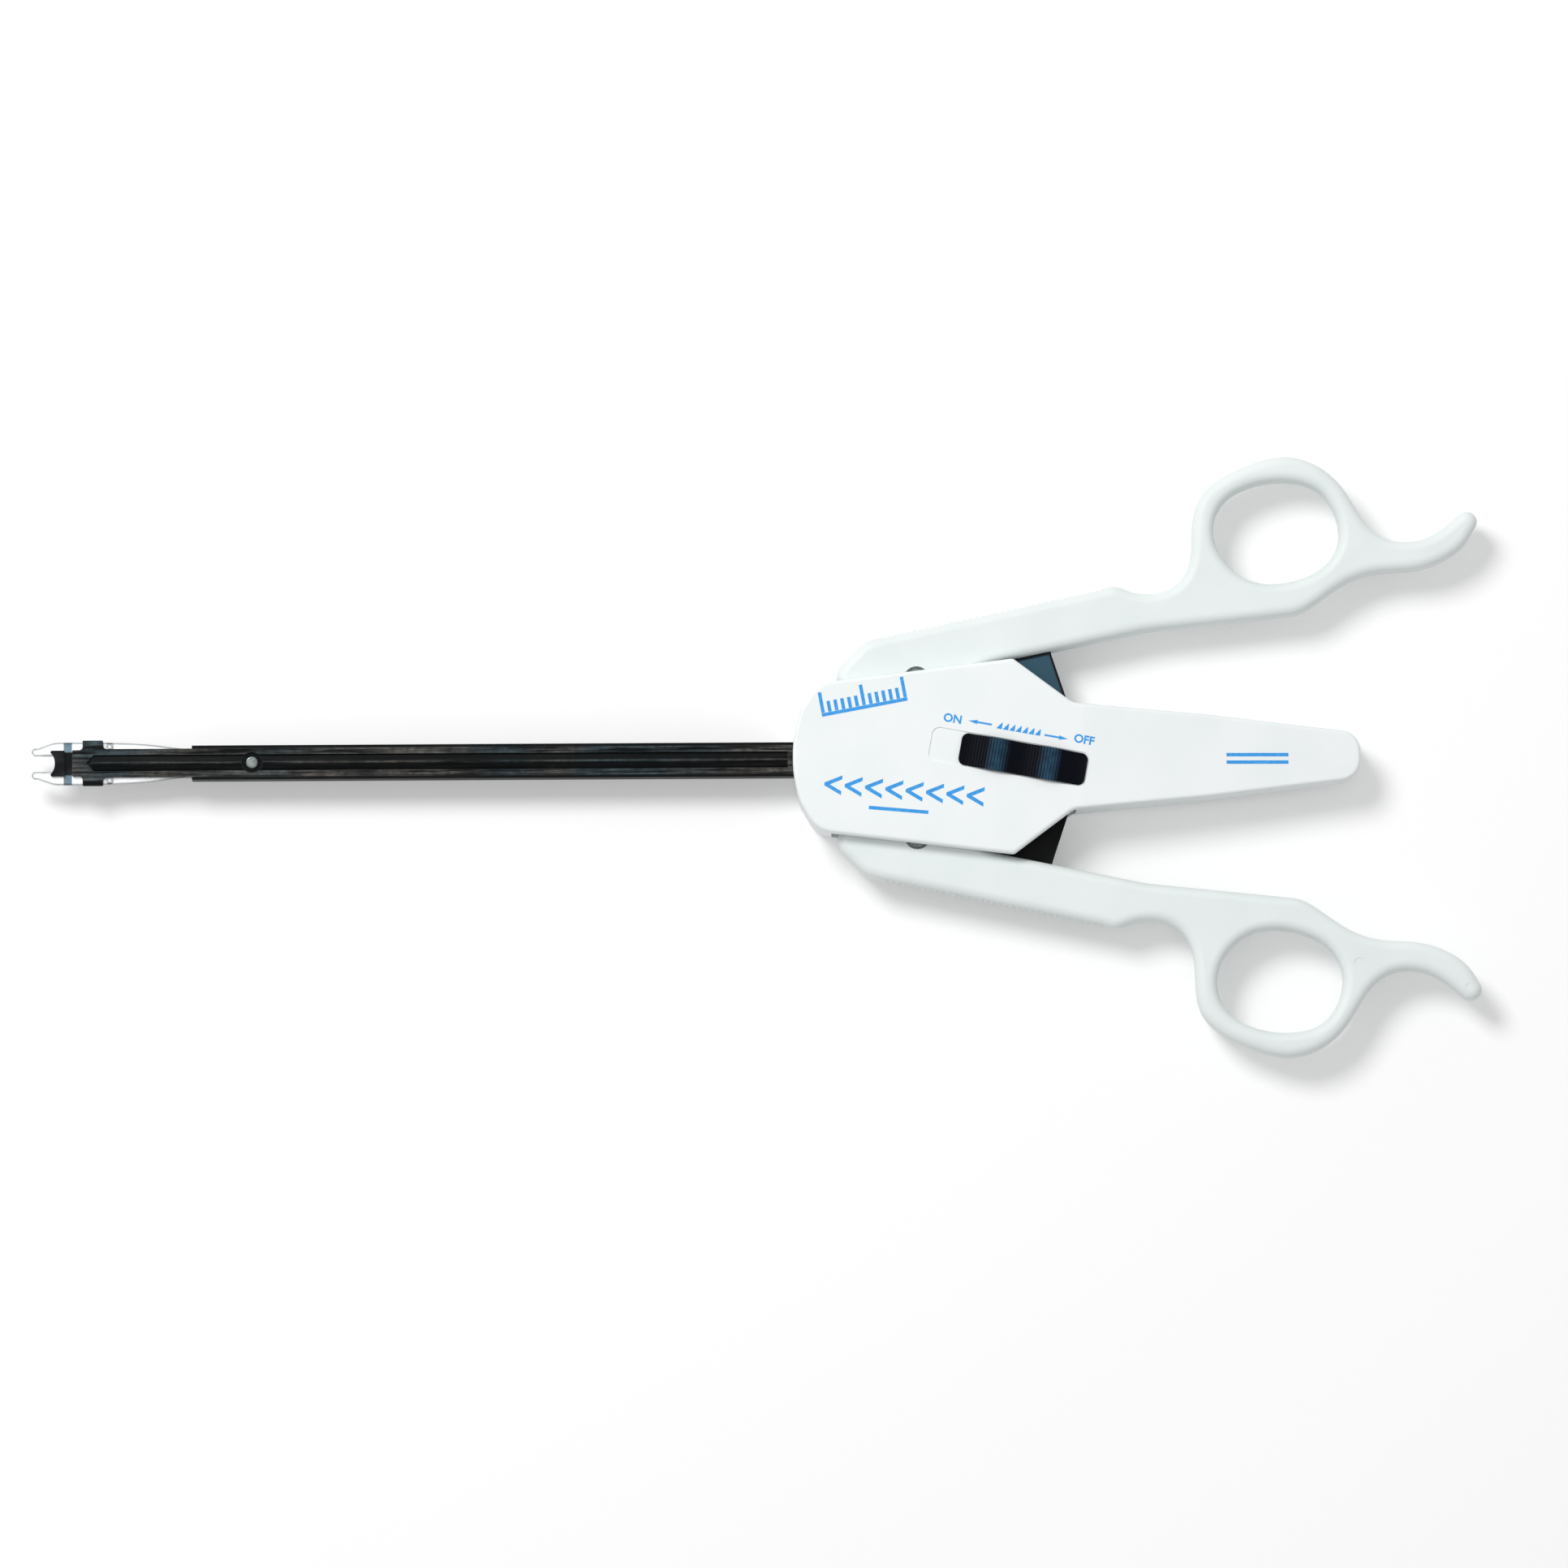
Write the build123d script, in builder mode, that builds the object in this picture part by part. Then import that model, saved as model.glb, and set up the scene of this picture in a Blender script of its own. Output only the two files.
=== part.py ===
from build123d import *
import math
import os

# A hand-held surgical clip applier: two ring handles squeeze a flat crimping channel over a pair of
# spring-steel jaws, and a cartridge in the shaft feeds clips to them.
# Millimetres. X runs along the shaft towards the handles, Y across, Z up from the bottom cover's face.
# The origin is on the bottom cover's flat underside, on the centreline, between the two handle pivots.

# Body shell
body_height = 15.0
cover_wall = 1.8
front_x = -25.0
nose_corner_x = -23.4
nose_corner_half = 9.3
shoulder_x = -20.2
shoulder_half = 14.9
wide_x = 19.4
wide_half = 19.7
waist_x = 31.4
waist_half = 10.75
kink_x = 58.5
kink_half = 8.3
tail_x = 89.3
tail_half = 4.6
tail_taper = 3.0
cover_edge_radius = 0.7
nose_bulge = 0.4
nose_bulge_half = 4.8
mouth_room = 3.0
post_places = ((-20.5, 9.0), (-20.5, -9.0), (82.5, 0.0))
post_radius = 1.9
peg_radius = 1.0
peg_length = 2.0
peg_hole_spare = 0.4

# Handles and their pivots
handle_thickness = 8.2
pivot_half = 15.9
pivot_pin_radius = 0.95
pivot_recess_radius = 2.6
pivot_recess_depth = 1.0
pivot_flange_radius = 2.3
pivot_flange_thickness = 0.8
pivot_boss_radius = 3.2
pin_end_wall = 0.85
handle_edge_radius = 1.9
arm_bend_radius = 18.0
squeeze_deg = 14.0
grip_teeth = 34
grip_groove_radius = 0.42
grip_groove_offset = 0.08
mark_depth = 0.1
moulding_marks = (((88.8, -42.0), 1.15), ((110.6, -46.8), 0.65))

# Drive
drive_stroke = 5.5
lever_thickness = 1.6
lever_gap = 1.0
lever_eye_radius = 3.6
lever_end_radius = 4.4
lever_panel_depth = 0.25
lever_panel = ((14.0, 15.2), (15.0, 18.5), (26.75, 21.0), (29.67, 12.16), (22.5, 9.6))
lever_room = 0.2
lever_room_front = 10.0
lever_room_rear = 7.0
drive_pin_x = 28.0
drive_pin_radius = 1.5
drive_pin_chamfer = 0.2
slot_clearance = 0.1
block_half = 4.4
block_front_x = -2.0
block_rear_x = 38.0
block_corner_radius = 0.8
bed_x = 9.0
bed_length = 10.0
bed_width = 5.0
guide_thickness = 1.2
guide_drop = 2.1
rod_radius = 1.6
rod_slot_height = 6.0
abutment_gap = 7.0
abutment_thickness = 2.0
abutment_width = 8.6
abutment_drop = 2.1
collar_radius = 3.0
collar_length = 2.0
collar_chamfer = 0.3
return_spring_length = 20.0
return_spring_wire = 0.4
return_spring_turns = 7
return_spring_gap = 0.3

# Shaft
channel_width = 6.95
channel_wall = 0.57
channel_floor = 0.5
channel_height = 4.5
channel_front_x = -146.1
channel_rear_x = 8.0
channel_notch_half = 2.0
channel_notch_depth = 1.5
sliding_gap = 0.05
spine_thickness = 0.9
rail_width = 1.21
groove_depth = 0.55
groove_setback = 0.7
groove_point_length = 1.5
ridge_height = 0.5
ridge_setback = 1.0
spine_front_x = -170.2
spine_rear_x = -14.0
wing_front_x = -168.1
wing_rear_x = -164.0
wing_half = 4.58
plate_front_half = 2.65
spine_tab_setback = 3.0
spine_tab_length = 5.0
spine_tab_width = 3.4
spine_tab_drop = 1.0
cradle_wall = 1.5
tray_front_x = -169.0
tray_floor = 0.25
tray_wall = 0.5
tray_front_wall = 1.0
tray_rear_wall = 2.0
tray_step = 3.0
tray_cut_height = 4.0
tray_ramp = 1.2

# Jaws
jaw_tip_x = -178.4
jaw_thickness = 1.2
jaw_gap_half = 1.6
jaw_outer_half = 4.28
rivet_x = -134.0
rivet_radius = 1.0
rivet_head_radius = 1.3
rivet_recess_radius = 2.1
rivet_tail_radius = 1.5
rivet_tail_thickness = 0.12
rivet_head_height = 0.5
rivet_dome_radius = 0.35
jaw_eye_radius = 2.1
jaw_eye_room = 0.2
jaw_gap_z = 0.04
jaw_floor_gap = 0.15
jaw_groove_width = 0.6
jaw_groove_depth = 0.4
jaw_peg_x = -162.7
jaw_peg_half = 3.4
jaw_peg_radius = 0.57
jaw_peg_height = 0.3
nose_tip_x = -174.6
nose_rear_x = -171.7
nose_half = 2.6
nose_notch_depth = 0.9
nose_notch_half = 2.25
nose_edge_radius = 0.35
nose_sink = 0.1
tongue_half = 2.25
tongue_thickness = 0.33
tongue_root = 0.5
tongue_room = 0.02

# Clips
clip_count = 25
clip_pitch = 3.6
clip_wire = 0.6
clip_half = 1.75
clip_height = 0.62
clip_leg = 3.4
clip_crown = 1.2
clip_crotch = 0.3
clip_shoulder = (0.9, 0.45)
first_clip_x = -155.0
stack_gap = 0.04
feed_bar_half = 0.8
feed_bar_tip_half = 0.35
feed_bar_taper = 1.0
feed_bar_reach = 5.0
feed_bar_thickness = 0.18
feed_bar_gap = 0.03
feed_slot_height = 0.4
follower_length = 6.0
follower_taper = 1.5
follower_tip_half = 0.6
follower_gap = 0.2
follower_spring_radius = 0.9
follower_spring_wire = 0.18
follower_spring_turns = 12

# Ratchet switch
switch_length = 25.7
switch_width = 6.5
switch_angle = -10.3
switch_x = 21.3
switch_y = -0.7
switch_travel = 5.7
switch_recess_depth = 0.25
switch_end_gap = 0.4
switch_side_gap = 0.25
switch_corner_radius = 1.35
switch_slab = 0.55
switch_hump = 0.9
switch_end_flat = 3.4
switch_end_drop = 0.2
switch_valley_lift = 0.05
hump_x = 5.6
rib_pitch = 0.6
rib_gap = 0.2
rib_depth = 0.14
stem_length = 9.0
stem_width = 2.2
stem_corner_radius = 0.4
stem_end_gap = 0.2
stem_lip = 0.8
stem_lip_thickness = 0.4
detent_length = 12.0
detent_height = 0.7
detent_thickness = 0.3
detent_offset = 2.0
detent_knob_radius = 0.6
pawl_pivot_x = 29.5
pawl_pivot_drop = 1.3
pawl_length = 19.0
pawl_tail = 3.0
pawl_half = 1.5
pawl_room = 2.6
pawl_tooth = 0.8
pawl_tooth_gap = 1.2
pawl_belly = 0.1
pawl_eye_wall = 0.55
pawl_side_gap = 0.3
pawl_pin_radius = 0.6
pawl_ear_thickness = 1.0
pawl_ear_length = 2.6
pawl_ear_reach = 0.9
rack_pitch = 1.1
rack_teeth = 7
rack_depth = 0.5
rack_setback = 1.5
rack_root_share = 0.15
rack_crest_share = 0.9

# How far an added form starts inside the wall it grows from, and how far a cut runs past a face
weld = 0.2
post_weld = 0.3
overcut = 0.1

# Worked-out places
mid_z = body_height / 2
channel_low_z = mid_z - 2.5
spine_top_z = mid_z + 2.15
jaw_low_z = mid_z - 0.35
roof_z = body_height - cover_wall
handle_low_z = mid_z - handle_thickness / 2
handle_high_z = mid_z + handle_thickness / 2
cover_gap = 0.3
skirt_high_z = handle_high_z + cover_gap
skirt_low_z = handle_low_z - cover_gap
upper_lever_z = mid_z + lever_gap / 2
lower_lever_z = mid_z - lever_gap / 2 - lever_thickness
spine_low_z = spine_top_z - spine_thickness
spine_half = channel_width / 2 - channel_wall - sliding_gap
jaw_high_z = jaw_low_z + jaw_thickness
jaw_mid_z = jaw_low_z + jaw_thickness / 2
tray_low_z = channel_low_z + channel_floor + sliding_gap
tray_half = spine_half - sliding_gap
block_height = body_height - 2 * cover_wall - 2 * pawl_room
block_low_z = mid_z - block_height / 2
block_high_z = mid_z + block_height / 2
window_front_x = -17.3
window_rear_x = waist_x + 0.6
taper_x = waist_x + 2.0
channel_axis_z = channel_low_z + channel_height / 2
recess_floor_z = body_height - switch_recess_depth
spine_tab_x = spine_rear_x - spine_tab_setback
spine_tab_high_z = roof_z - spine_tab_drop
pawl_pivot_z = roof_z - pawl_pivot_drop
abutment_x = block_rear_x + abutment_gap
tongue_rear_x = wing_rear_x - 2.5

os.makedirs("parts", exist_ok=True)


def save(builder, name):
    """Labels a finished piece and writes it to its own file."""
    builder.part.label = name
    export_step(builder.part, f"parts/{name}.step")


def cover_outline(inset=0.0):
    """The plan of the body shell: rounded nose, flared shoulders, waist and tapering tail."""
    with BuildSketch(mode=Mode.PRIVATE) as plan:
        with BuildLine():
            nose = ThreePointArc(
                (front_x, 0), (front_x + nose_bulge, nose_bulge_half), (nose_corner_x, nose_corner_half)
            )
            Polyline(
                nose @ 1,
                (shoulder_x, shoulder_half),
                (wide_x, wide_half),
                (waist_x, waist_half),
                (kink_x, kink_half),
                (tail_x, tail_half),
                (tail_x, -tail_half),
                (kink_x, -kink_half),
                (waist_x, -waist_half),
                (wide_x, -wide_half),
                (shoulder_x, -shoulder_half),
                (nose_corner_x, -nose_corner_half),
            )
            ThreePointArc(
                (nose_corner_x, -nose_corner_half), (front_x + nose_bulge, -nose_bulge_half), (front_x, 0)
            )
        make_face()
        for corner_x, radius in (
            (nose_corner_x, 4.0),
            (shoulder_x, 6.0),
            (wide_x, 1.3),
            (waist_x, 3.5),
            (tail_x, tail_half * 0.9),
        ):
            fillet([v for v in plan.vertices() if abs(v.X - corner_x) < 0.01], radius=radius)
        if inset:
            offset(amount=-inset, kind=Kind.INTERSECTION)
    return plan.sketch


def body_block(inset):
    """The closed body form, with its tail tapered above and below; inset gives the hollow inside."""
    with BuildPart() as block:
        with BuildSketch(Plane.XY.offset(inset)):
            add(cover_outline(inset))
        extrude(amount=body_height - 2 * inset)
        with BuildSketch(Plane.XZ):
            for low, way in ((body_height - inset, -1), (inset, 1)):
                with BuildLine():
                    Polyline(
                        (taper_x, low),
                        (tail_x + 1, low + way * tail_taper),
                        (tail_x + 1, low - way),
                        (taper_x, low - way),
                        close=True,
                    )
                make_face()
        extrude(amount=2 * wide_half, both=True, mode=Mode.SUBTRACT)
        if not inset:
            rims = [
                e
                for f in block.faces()
                if abs(f.normal_at().Z) > 0.9
                for e in f.edges()
                if e.length > 0.2 and abs(e.tangent_at(0.5).X) + abs(e.tangent_at(0.5).Y) > 0.5
            ]
            crease = [
                e
                for e in rims
                if abs(e.center().X - taper_x) < 0.01 and abs(e.center().Y) < 0.01
            ]
            fillet([e for e in rims if e not in crease], radius=cover_edge_radius)
    return block.part


def hollow_height(x):
    """Inside height of the covers at a place along the body."""
    drop = tail_taper * max(0.0, (x - taper_x) / (tail_x + 1 - taper_x))
    return body_height - 2 * cover_wall - 2 * drop


outer_form = body_block(0.0)
inner_form = body_block(cover_wall)

# The switch, its recess and its slot are all tilted in plan
switch_plane = Plane(origin=(switch_x, switch_y, 0), z_dir=(0, 0, 1)).rotated((0, 0, switch_angle))

# Top cover
with BuildPart() as top_cover:
    add(outer_form)
    split(bisect_by=Plane.XY.offset(mid_z), keep=Keep.TOP)
    add(inner_form, mode=Mode.SUBTRACT)
    with BuildSketch(Plane.XY.offset(mid_z)):
        with Locations(((window_front_x + window_rear_x) / 2, 0)):
            Rectangle(window_rear_x - window_front_x, 3 * wide_half)
    extrude(amount=skirt_high_z - mid_z, mode=Mode.SUBTRACT)
    # Bosses for the pivot pins, no wider than the cover itself
    with BuildSketch(Plane.XY.offset(skirt_high_z)):
        with Locations((0, pivot_half), (0, -pivot_half)):
            Circle(pivot_boss_radius)
        add(cover_outline(sliding_gap), mode=Mode.INTERSECT)
    extrude(amount=roof_z - skirt_high_z + weld)
    with BuildSketch(Plane.XY.offset(skirt_high_z)):
        with Locations((0, pivot_half), (0, -pivot_half)):
            Circle(pivot_pin_radius + sliding_gap)
    extrude(amount=body_height - pin_end_wall - skirt_high_z, mode=Mode.SUBTRACT)
    # Cradle that holds the cartridge's tab
    with BuildSketch(Plane.XY.offset(spine_top_z + weld)):
        with Locations((spine_tab_x, 0)):
            Rectangle(spine_tab_length + 2 * cradle_wall, spine_tab_width + 2 * cradle_wall)
    extrude(amount=roof_z - spine_top_z)
    with BuildSketch(Plane.XY.offset(spine_top_z)):
        with Locations((spine_tab_x, 0)):
            Rectangle(spine_tab_length + 2 * sliding_gap, spine_tab_width + 2 * sliding_gap)
    extrude(amount=spine_tab_high_z + sliding_gap - spine_top_z, mode=Mode.SUBTRACT)
    # Ears that carry the pawl's pin
    with BuildSketch(Plane.XY.offset(pawl_pivot_z - pawl_ear_reach)):
        ear_y = pawl_half + sliding_gap + pawl_ear_thickness / 2
        with Locations((pawl_pivot_x, ear_y), (pawl_pivot_x, -ear_y)):
            Rectangle(pawl_ear_length, pawl_ear_thickness)
    extrude(amount=roof_z - pawl_pivot_z + pawl_ear_reach + weld)
    with BuildSketch(Plane.XZ):
        with Locations((pawl_pivot_x, pawl_pivot_z)):
            Circle(pawl_pin_radius)
    extrude(amount=block_half, both=True, mode=Mode.SUBTRACT)
    # Posts with pegs that drop into the bottom cover
    for post_x, post_y in post_places:
        with BuildSketch(Plane.XY.offset(mid_z)):
            with Locations((post_x, post_y)):
                Circle(post_radius)
        extrude(amount=hollow_height(post_x) / 2 + post_weld)
        with BuildSketch(Plane.XY.offset(mid_z - peg_length)):
            with Locations((post_x, post_y)):
                Circle(peg_radius)
        extrude(amount=peg_length + weld)
    # Recess and through slot of the ratchet switch
    with BuildSketch(switch_plane.offset(recess_floor_z)):
        with Locations((-switch_travel / 2, 0)):
            RectangleRounded(
                switch_length + switch_travel + 2 * switch_end_gap,
                switch_width + 2 * switch_side_gap,
                radius=switch_corner_radius + switch_side_gap,
            )
    extrude(amount=switch_recess_depth + overcut, mode=Mode.SUBTRACT)
    with BuildSketch(switch_plane.offset(roof_z - overcut)):
        with Locations((-switch_travel / 2, 0)):
            RectangleRounded(
                stem_length + switch_travel + 2 * stem_end_gap,
                stem_width + 2 * slot_clearance,
                radius=stem_corner_radius + slot_clearance,
            )
    extrude(amount=cover_wall + 2 * overcut, mode=Mode.SUBTRACT)
    # Front opening for the crimping channel
    with BuildSketch(Plane.YZ.offset(front_x - 1)):
        with Locations((0, channel_axis_z)):
            Rectangle(channel_width + 2 * slot_clearance, channel_height + 4 * slot_clearance + overcut)
    extrude(amount=cover_wall + mouth_room, mode=Mode.SUBTRACT)
save(top_cover, "top_cover")

# Bottom cover
with BuildPart() as bottom_cover:
    add(outer_form)
    split(bisect_by=Plane.XY.offset(mid_z), keep=Keep.BOTTOM)
    add(inner_form, mode=Mode.SUBTRACT)
    with BuildSketch(Plane.XY.offset(skirt_low_z)):
        with Locations(((window_front_x + window_rear_x) / 2, 0)):
            Rectangle(window_rear_x - window_front_x, 3 * wide_half)
    extrude(amount=mid_z - skirt_low_z, mode=Mode.SUBTRACT)
    with BuildSketch(Plane.XY.offset(cover_wall - weld)):
        with Locations((0, pivot_half), (0, -pivot_half)):
            Circle(pivot_boss_radius)
        add(cover_outline(sliding_gap), mode=Mode.INTERSECT)
    extrude(amount=skirt_low_z - cover_wall + weld)
    with BuildSketch(Plane.XY.offset(pin_end_wall)):
        with Locations((0, pivot_half), (0, -pivot_half)):
            Circle(pivot_pin_radius + sliding_gap)
    extrude(amount=skirt_low_z, mode=Mode.SUBTRACT)
    # Slide bed and side guides of the drive block
    with BuildSketch(Plane.XY.offset(cover_wall - weld)):
        with Locations((bed_x, 0)):
            Rectangle(bed_length, bed_width)
    extrude(amount=block_low_z - slot_clearance - cover_wall + weld)
    with BuildSketch(Plane.XY.offset(cover_wall - weld)):
        guide_y = block_half + slot_clearance + guide_thickness / 2
        with Locations((bed_x, guide_y), (bed_x, -guide_y)):
            Rectangle(bed_length, guide_thickness)
    extrude(amount=mid_z - guide_drop - cover_wall + weld)
    # Spring abutment in the tail, with the drive rod through it
    abutment_low_z = cover_wall - weld
    abutment_high_z = roof_z - abutment_drop
    with BuildSketch(Plane.YZ.offset(abutment_x - abutment_thickness / 2)):
        with Locations((0, (abutment_low_z + abutment_high_z) / 2)):
            Rectangle(abutment_width, abutment_high_z - abutment_low_z)
    extrude(amount=abutment_thickness)
    with BuildSketch(Plane.YZ.offset(abutment_x - abutment_thickness)):
        with Locations((0, mid_z)):
            Circle(rod_radius + slot_clearance)
        with Locations((0, mid_z + rod_slot_height / 2)):
            Rectangle(2 * (rod_radius + slot_clearance), rod_slot_height)
    extrude(amount=2 * abutment_thickness, mode=Mode.SUBTRACT)
    # Socket posts for the pegs of the top cover
    for post_x, post_y in post_places:
        post_height = hollow_height(post_x) / 2 + post_weld
        with BuildSketch(Plane.XY.offset(mid_z - post_height)):
            with Locations((post_x, post_y)):
                Circle(post_radius)
        extrude(amount=post_height)
        with BuildSketch(Plane.XY.offset(mid_z - peg_length - peg_hole_spare)):
            with Locations((post_x, post_y)):
                Circle(peg_radius + sliding_gap)
        extrude(amount=peg_length + peg_hole_spare + overcut, mode=Mode.SUBTRACT)
    with BuildSketch(Plane.YZ.offset(front_x - 1)):
        with Locations((0, channel_axis_z)):
            Rectangle(channel_width + 2 * slot_clearance, channel_height + 2 * slot_clearance)
    extrude(amount=cover_wall + mouth_room, mode=Mode.SUBTRACT)
save(bottom_cover, "bottom_cover")

# Handle pivot pins, each across both covers and one handle
for name, side in (("upper_pivot_pin", 1), ("lower_pivot_pin", -1)):
    with BuildPart() as pivot_pin:
        with BuildSketch(Plane.XY.offset(pin_end_wall + sliding_gap)):
            with Locations((0, side * pivot_half)):
                Circle(pivot_pin_radius)
        extrude(amount=body_height - 2 * (pin_end_wall + sliding_gap))
        # Thrust flanges that lie in the handle's recesses
        for flange_z in (
            handle_low_z + pivot_recess_depth - sliding_gap - pivot_flange_thickness,
            handle_high_z - pivot_recess_depth + sliding_gap,
        ):
            with BuildSketch(Plane.XY.offset(flange_z)):
                with Locations((0, side * pivot_half)):
                    Circle(pivot_flange_radius)
            extrude(amount=pivot_flange_thickness)
    save(pivot_pin, name)

# Drive levers: black plates keyed into the handles, with a cam slot for the drive pin
cam_travel_per_rad = drive_stroke / math.radians(squeeze_deg)


def cam_point(angle_deg):
    """Where the drive pin sits in the resting lever when the handle has turned by the angle."""
    turn = math.radians(angle_deg)
    dx = drive_pin_x - cam_travel_per_rad * turn
    dy = -pivot_half
    return (
        dx * math.cos(turn) - dy * math.sin(turn),
        pivot_half + dx * math.sin(turn) + dy * math.cos(turn),
    )


def lever_outline(side, grow=0.0):
    """Plan of a drive lever: pivot eye, key inside the handle, arm down to the drive pin."""
    with BuildSketch(mode=Mode.PRIVATE) as plan:
        with BuildLine():
            Polyline(
                (-1.5, pivot_half + 3.2),
                (12.0, 22.0),
                (26.4, 24.6),
                (27.3, 20.7),
                (30.1, 12.3),
                (drive_pin_x + 5.0, 2.0),
                (drive_pin_x + 3.2, -3.0),
                (drive_pin_x - 3.5, -2.6),
                (20.5, 9.0),
                (10.0, 13.2),
                (1.0, pivot_half - 3.5),
                close=True,
            )
        make_face()
        with Locations((0, pivot_half)):
            Circle(lever_eye_radius)
        with Locations((drive_pin_x + 0.3, 0.2)):
            Circle(lever_end_radius)
        if grow:
            offset(amount=grow, kind=Kind.INTERSECTION)
        if side < 0:
            mirror(about=Plane.XZ, mode=Mode.REPLACE)
    return plan.sketch


for name, side, low_z in (
    ("upper_drive_lever", 1, upper_lever_z),
    ("lower_drive_lever", -1, lower_lever_z),
):
    with BuildPart() as lever:
        with BuildSketch(Plane.XY.offset(low_z)):
            add(lever_outline(side))
            with Locations((0, side * pivot_half)):
                Circle(pivot_pin_radius + sliding_gap, mode=Mode.SUBTRACT)
        extrude(amount=lever_thickness)
        # Cam slot: keeps the drive pin's travel in step with the handle's angle
        with BuildSketch(Plane.XY.offset(low_z)):
            start, middle, end = (cam_point(share * squeeze_deg) for share in (0, 0.5, 1))
            with BuildLine():
                ThreePointArc(*((x, side * y) for x, y in (start, middle, end)))
            trace(line_width=2 * (drive_pin_radius + slot_clearance))
            with Locations((start[0], side * start[1]), (end[0], side * end[1])):
                Circle(drive_pin_radius + slot_clearance)
        extrude(amount=lever_thickness, mode=Mode.SUBTRACT)
        # Sunk panel on the upper face, which leaves a raised rim at the back and the handle end
        with BuildSketch(Plane.XY.offset(low_z + lever_thickness - lever_panel_depth)):
            with BuildLine():
                Polyline(*((x, side * y) for x, y in lever_panel), close=True)
            make_face()
        extrude(amount=lever_panel_depth, mode=Mode.SUBTRACT)
    save(lever, name)

# Handles: grip with fine teeth, saddle, finger ring and rear hook
grip_front = (-6.1, 24.7)
grip_rear = (37.0, 33.9)
hook_top = (109.9, 48.9)
hook_tip = (113.0, 46.2)
hook_way = (0.77, 0.64)
ring_base = (75.5, 28.6)
arm_bend = (46.0, 25.5)
arm_front = (20.6, 20.2)


def heading(start, end):
    """Unit direction from one plan point to another."""
    length = math.dist(start, end)
    return ((end[0] - start[0]) / length, (end[1] - start[1]) / length)


grip_way = heading(grip_front, grip_rear)

with BuildPart() as plain_handle:
    with BuildSketch(Plane.XY.offset(handle_low_z)) as handle_plan:
        with BuildLine():
            Line(grip_front, grip_rear)
            Spline(
                grip_rear,
                (39.6, 34.6),
                (43.0, 33.6),
                (46.6, 33.0),
                (51.0, 33.9),
                (54.2, 36.8),
                (55.5, 40.5),
                (55.9, 46.6),
                (57.2, 52.0),
                (60.9, 55.9),
                (67.4, 59.1),
                (74.4, 60.7),
                (80.5, 59.2),
                (86.2, 54.4),
                (91.2, 46.8),
                (95.2, 43.9),
                (99.6, 43.3),
                (105.0, 45.0),
                hook_top,
                tangents=(grip_way, hook_way),
                tangent_scalars=(1, 1),
            )
            hook_end = TangentArc(hook_top, hook_tip, tangent=hook_way)
            Spline(
                hook_tip,
                (111.0, 43.0),
                (107.8, 40.3),
                (104.2, 38.6),
                (99.6, 37.6),
                (93.5, 37.2),
                (87.7, 35.5),
                (81.6, 31.6),
                ring_base,
                tangents=(hook_end % 1, heading(ring_base, arm_bend)),
                tangent_scalars=(1, 1),
            )
            Line(ring_base, arm_bend)
            Line(arm_bend, arm_front)
            Spline(
                arm_front,
                (12.5, 17.6),
                (7.0, 12.8),
                (0.0, 10.4),
                (-8.5, 11.2),
                (-14.6, 13.3),
                (-16.0, 16.8),
                (-13.3, 20.8),
                (-10.2, 23.5),
                grip_front,
                tangents=(heading(arm_bend, arm_front), grip_way),
                tangent_scalars=(1, 1),
            )
        make_face()
        bends = [v for v in handle_plan.vertices() if abs(v.X - arm_bend[0]) < 0.01]
        fillet(bends, radius=arm_bend_radius)
        with BuildLine():
            Spline(
                (74.0, 55.8),
                (67.4, 54.7),
                (61.9, 51.1),
                (60.1, 45.7),
                (62.4, 39.4),
                (68.1, 35.4),
                (72.4, 34.9),
                (77.3, 35.8),
                (82.2, 38.3),
                (85.4, 43.8),
                (84.6, 49.4),
                (80.8, 54.2),
                periodic=True,
            )
        make_face(mode=Mode.SUBTRACT)
    extrude(amount=handle_thickness)
    fillet(
        plain_handle.edges().filter_by(lambda e: abs(e.tangent_at(0.3).Z) < 0.1),
        radius=handle_edge_radius,
    )
    # Fine round teeth along the grip
    grip_length = math.dist(grip_front, grip_rear)
    groove_pitch = grip_length / grip_teeth
    grip_plane = Plane(
        origin=(grip_front[0], grip_front[1], handle_low_z), x_dir=(*grip_way, 0), z_dir=(0, 0, 1)
    )
    with BuildSketch(grip_plane):
        with Locations((grip_length / 2, grip_groove_offset)):
            with GridLocations(groove_pitch, 1, grip_teeth + 1, 1):
                Circle(grip_groove_radius)
    extrude(amount=handle_thickness, mode=Mode.SUBTRACT)
    # Pivot bore with the wide shallow recesses around it
    with BuildSketch(Plane.XY.offset(handle_low_z)):
        with Locations((0, pivot_half)):
            Circle(pivot_pin_radius + sliding_gap)
    extrude(amount=handle_thickness, mode=Mode.SUBTRACT)
    for recess_z in (handle_low_z, handle_high_z - pivot_recess_depth):
        with BuildSketch(Plane.XY.offset(recess_z)):
            with Locations((0, pivot_half)):
                Circle(pivot_recess_radius)
        extrude(amount=pivot_recess_depth, mode=Mode.SUBTRACT)

for name, side, low_z in (
    ("upper_handle", 1, upper_lever_z),
    ("lower_handle", -1, lower_lever_z),
):
    with BuildPart() as handle:
        add(plain_handle.part)
        if side < 0:
            mirror(about=Plane.XZ, mode=Mode.REPLACE)
            # Moulding marks on the face that shows
            with BuildSketch(Plane.XY.offset(handle_high_z - mark_depth)):
                for place, radius in moulding_marks:
                    with Locations(place):
                        Circle(radius)
            extrude(amount=mark_depth, mode=Mode.SUBTRACT)
        with BuildSketch(Plane.XY.offset(low_z - sliding_gap)):
            add(lever_outline(side, grow=sliding_gap))
        extrude(amount=lever_thickness + 2 * sliding_gap, mode=Mode.SUBTRACT)
    save(handle, name)

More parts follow.
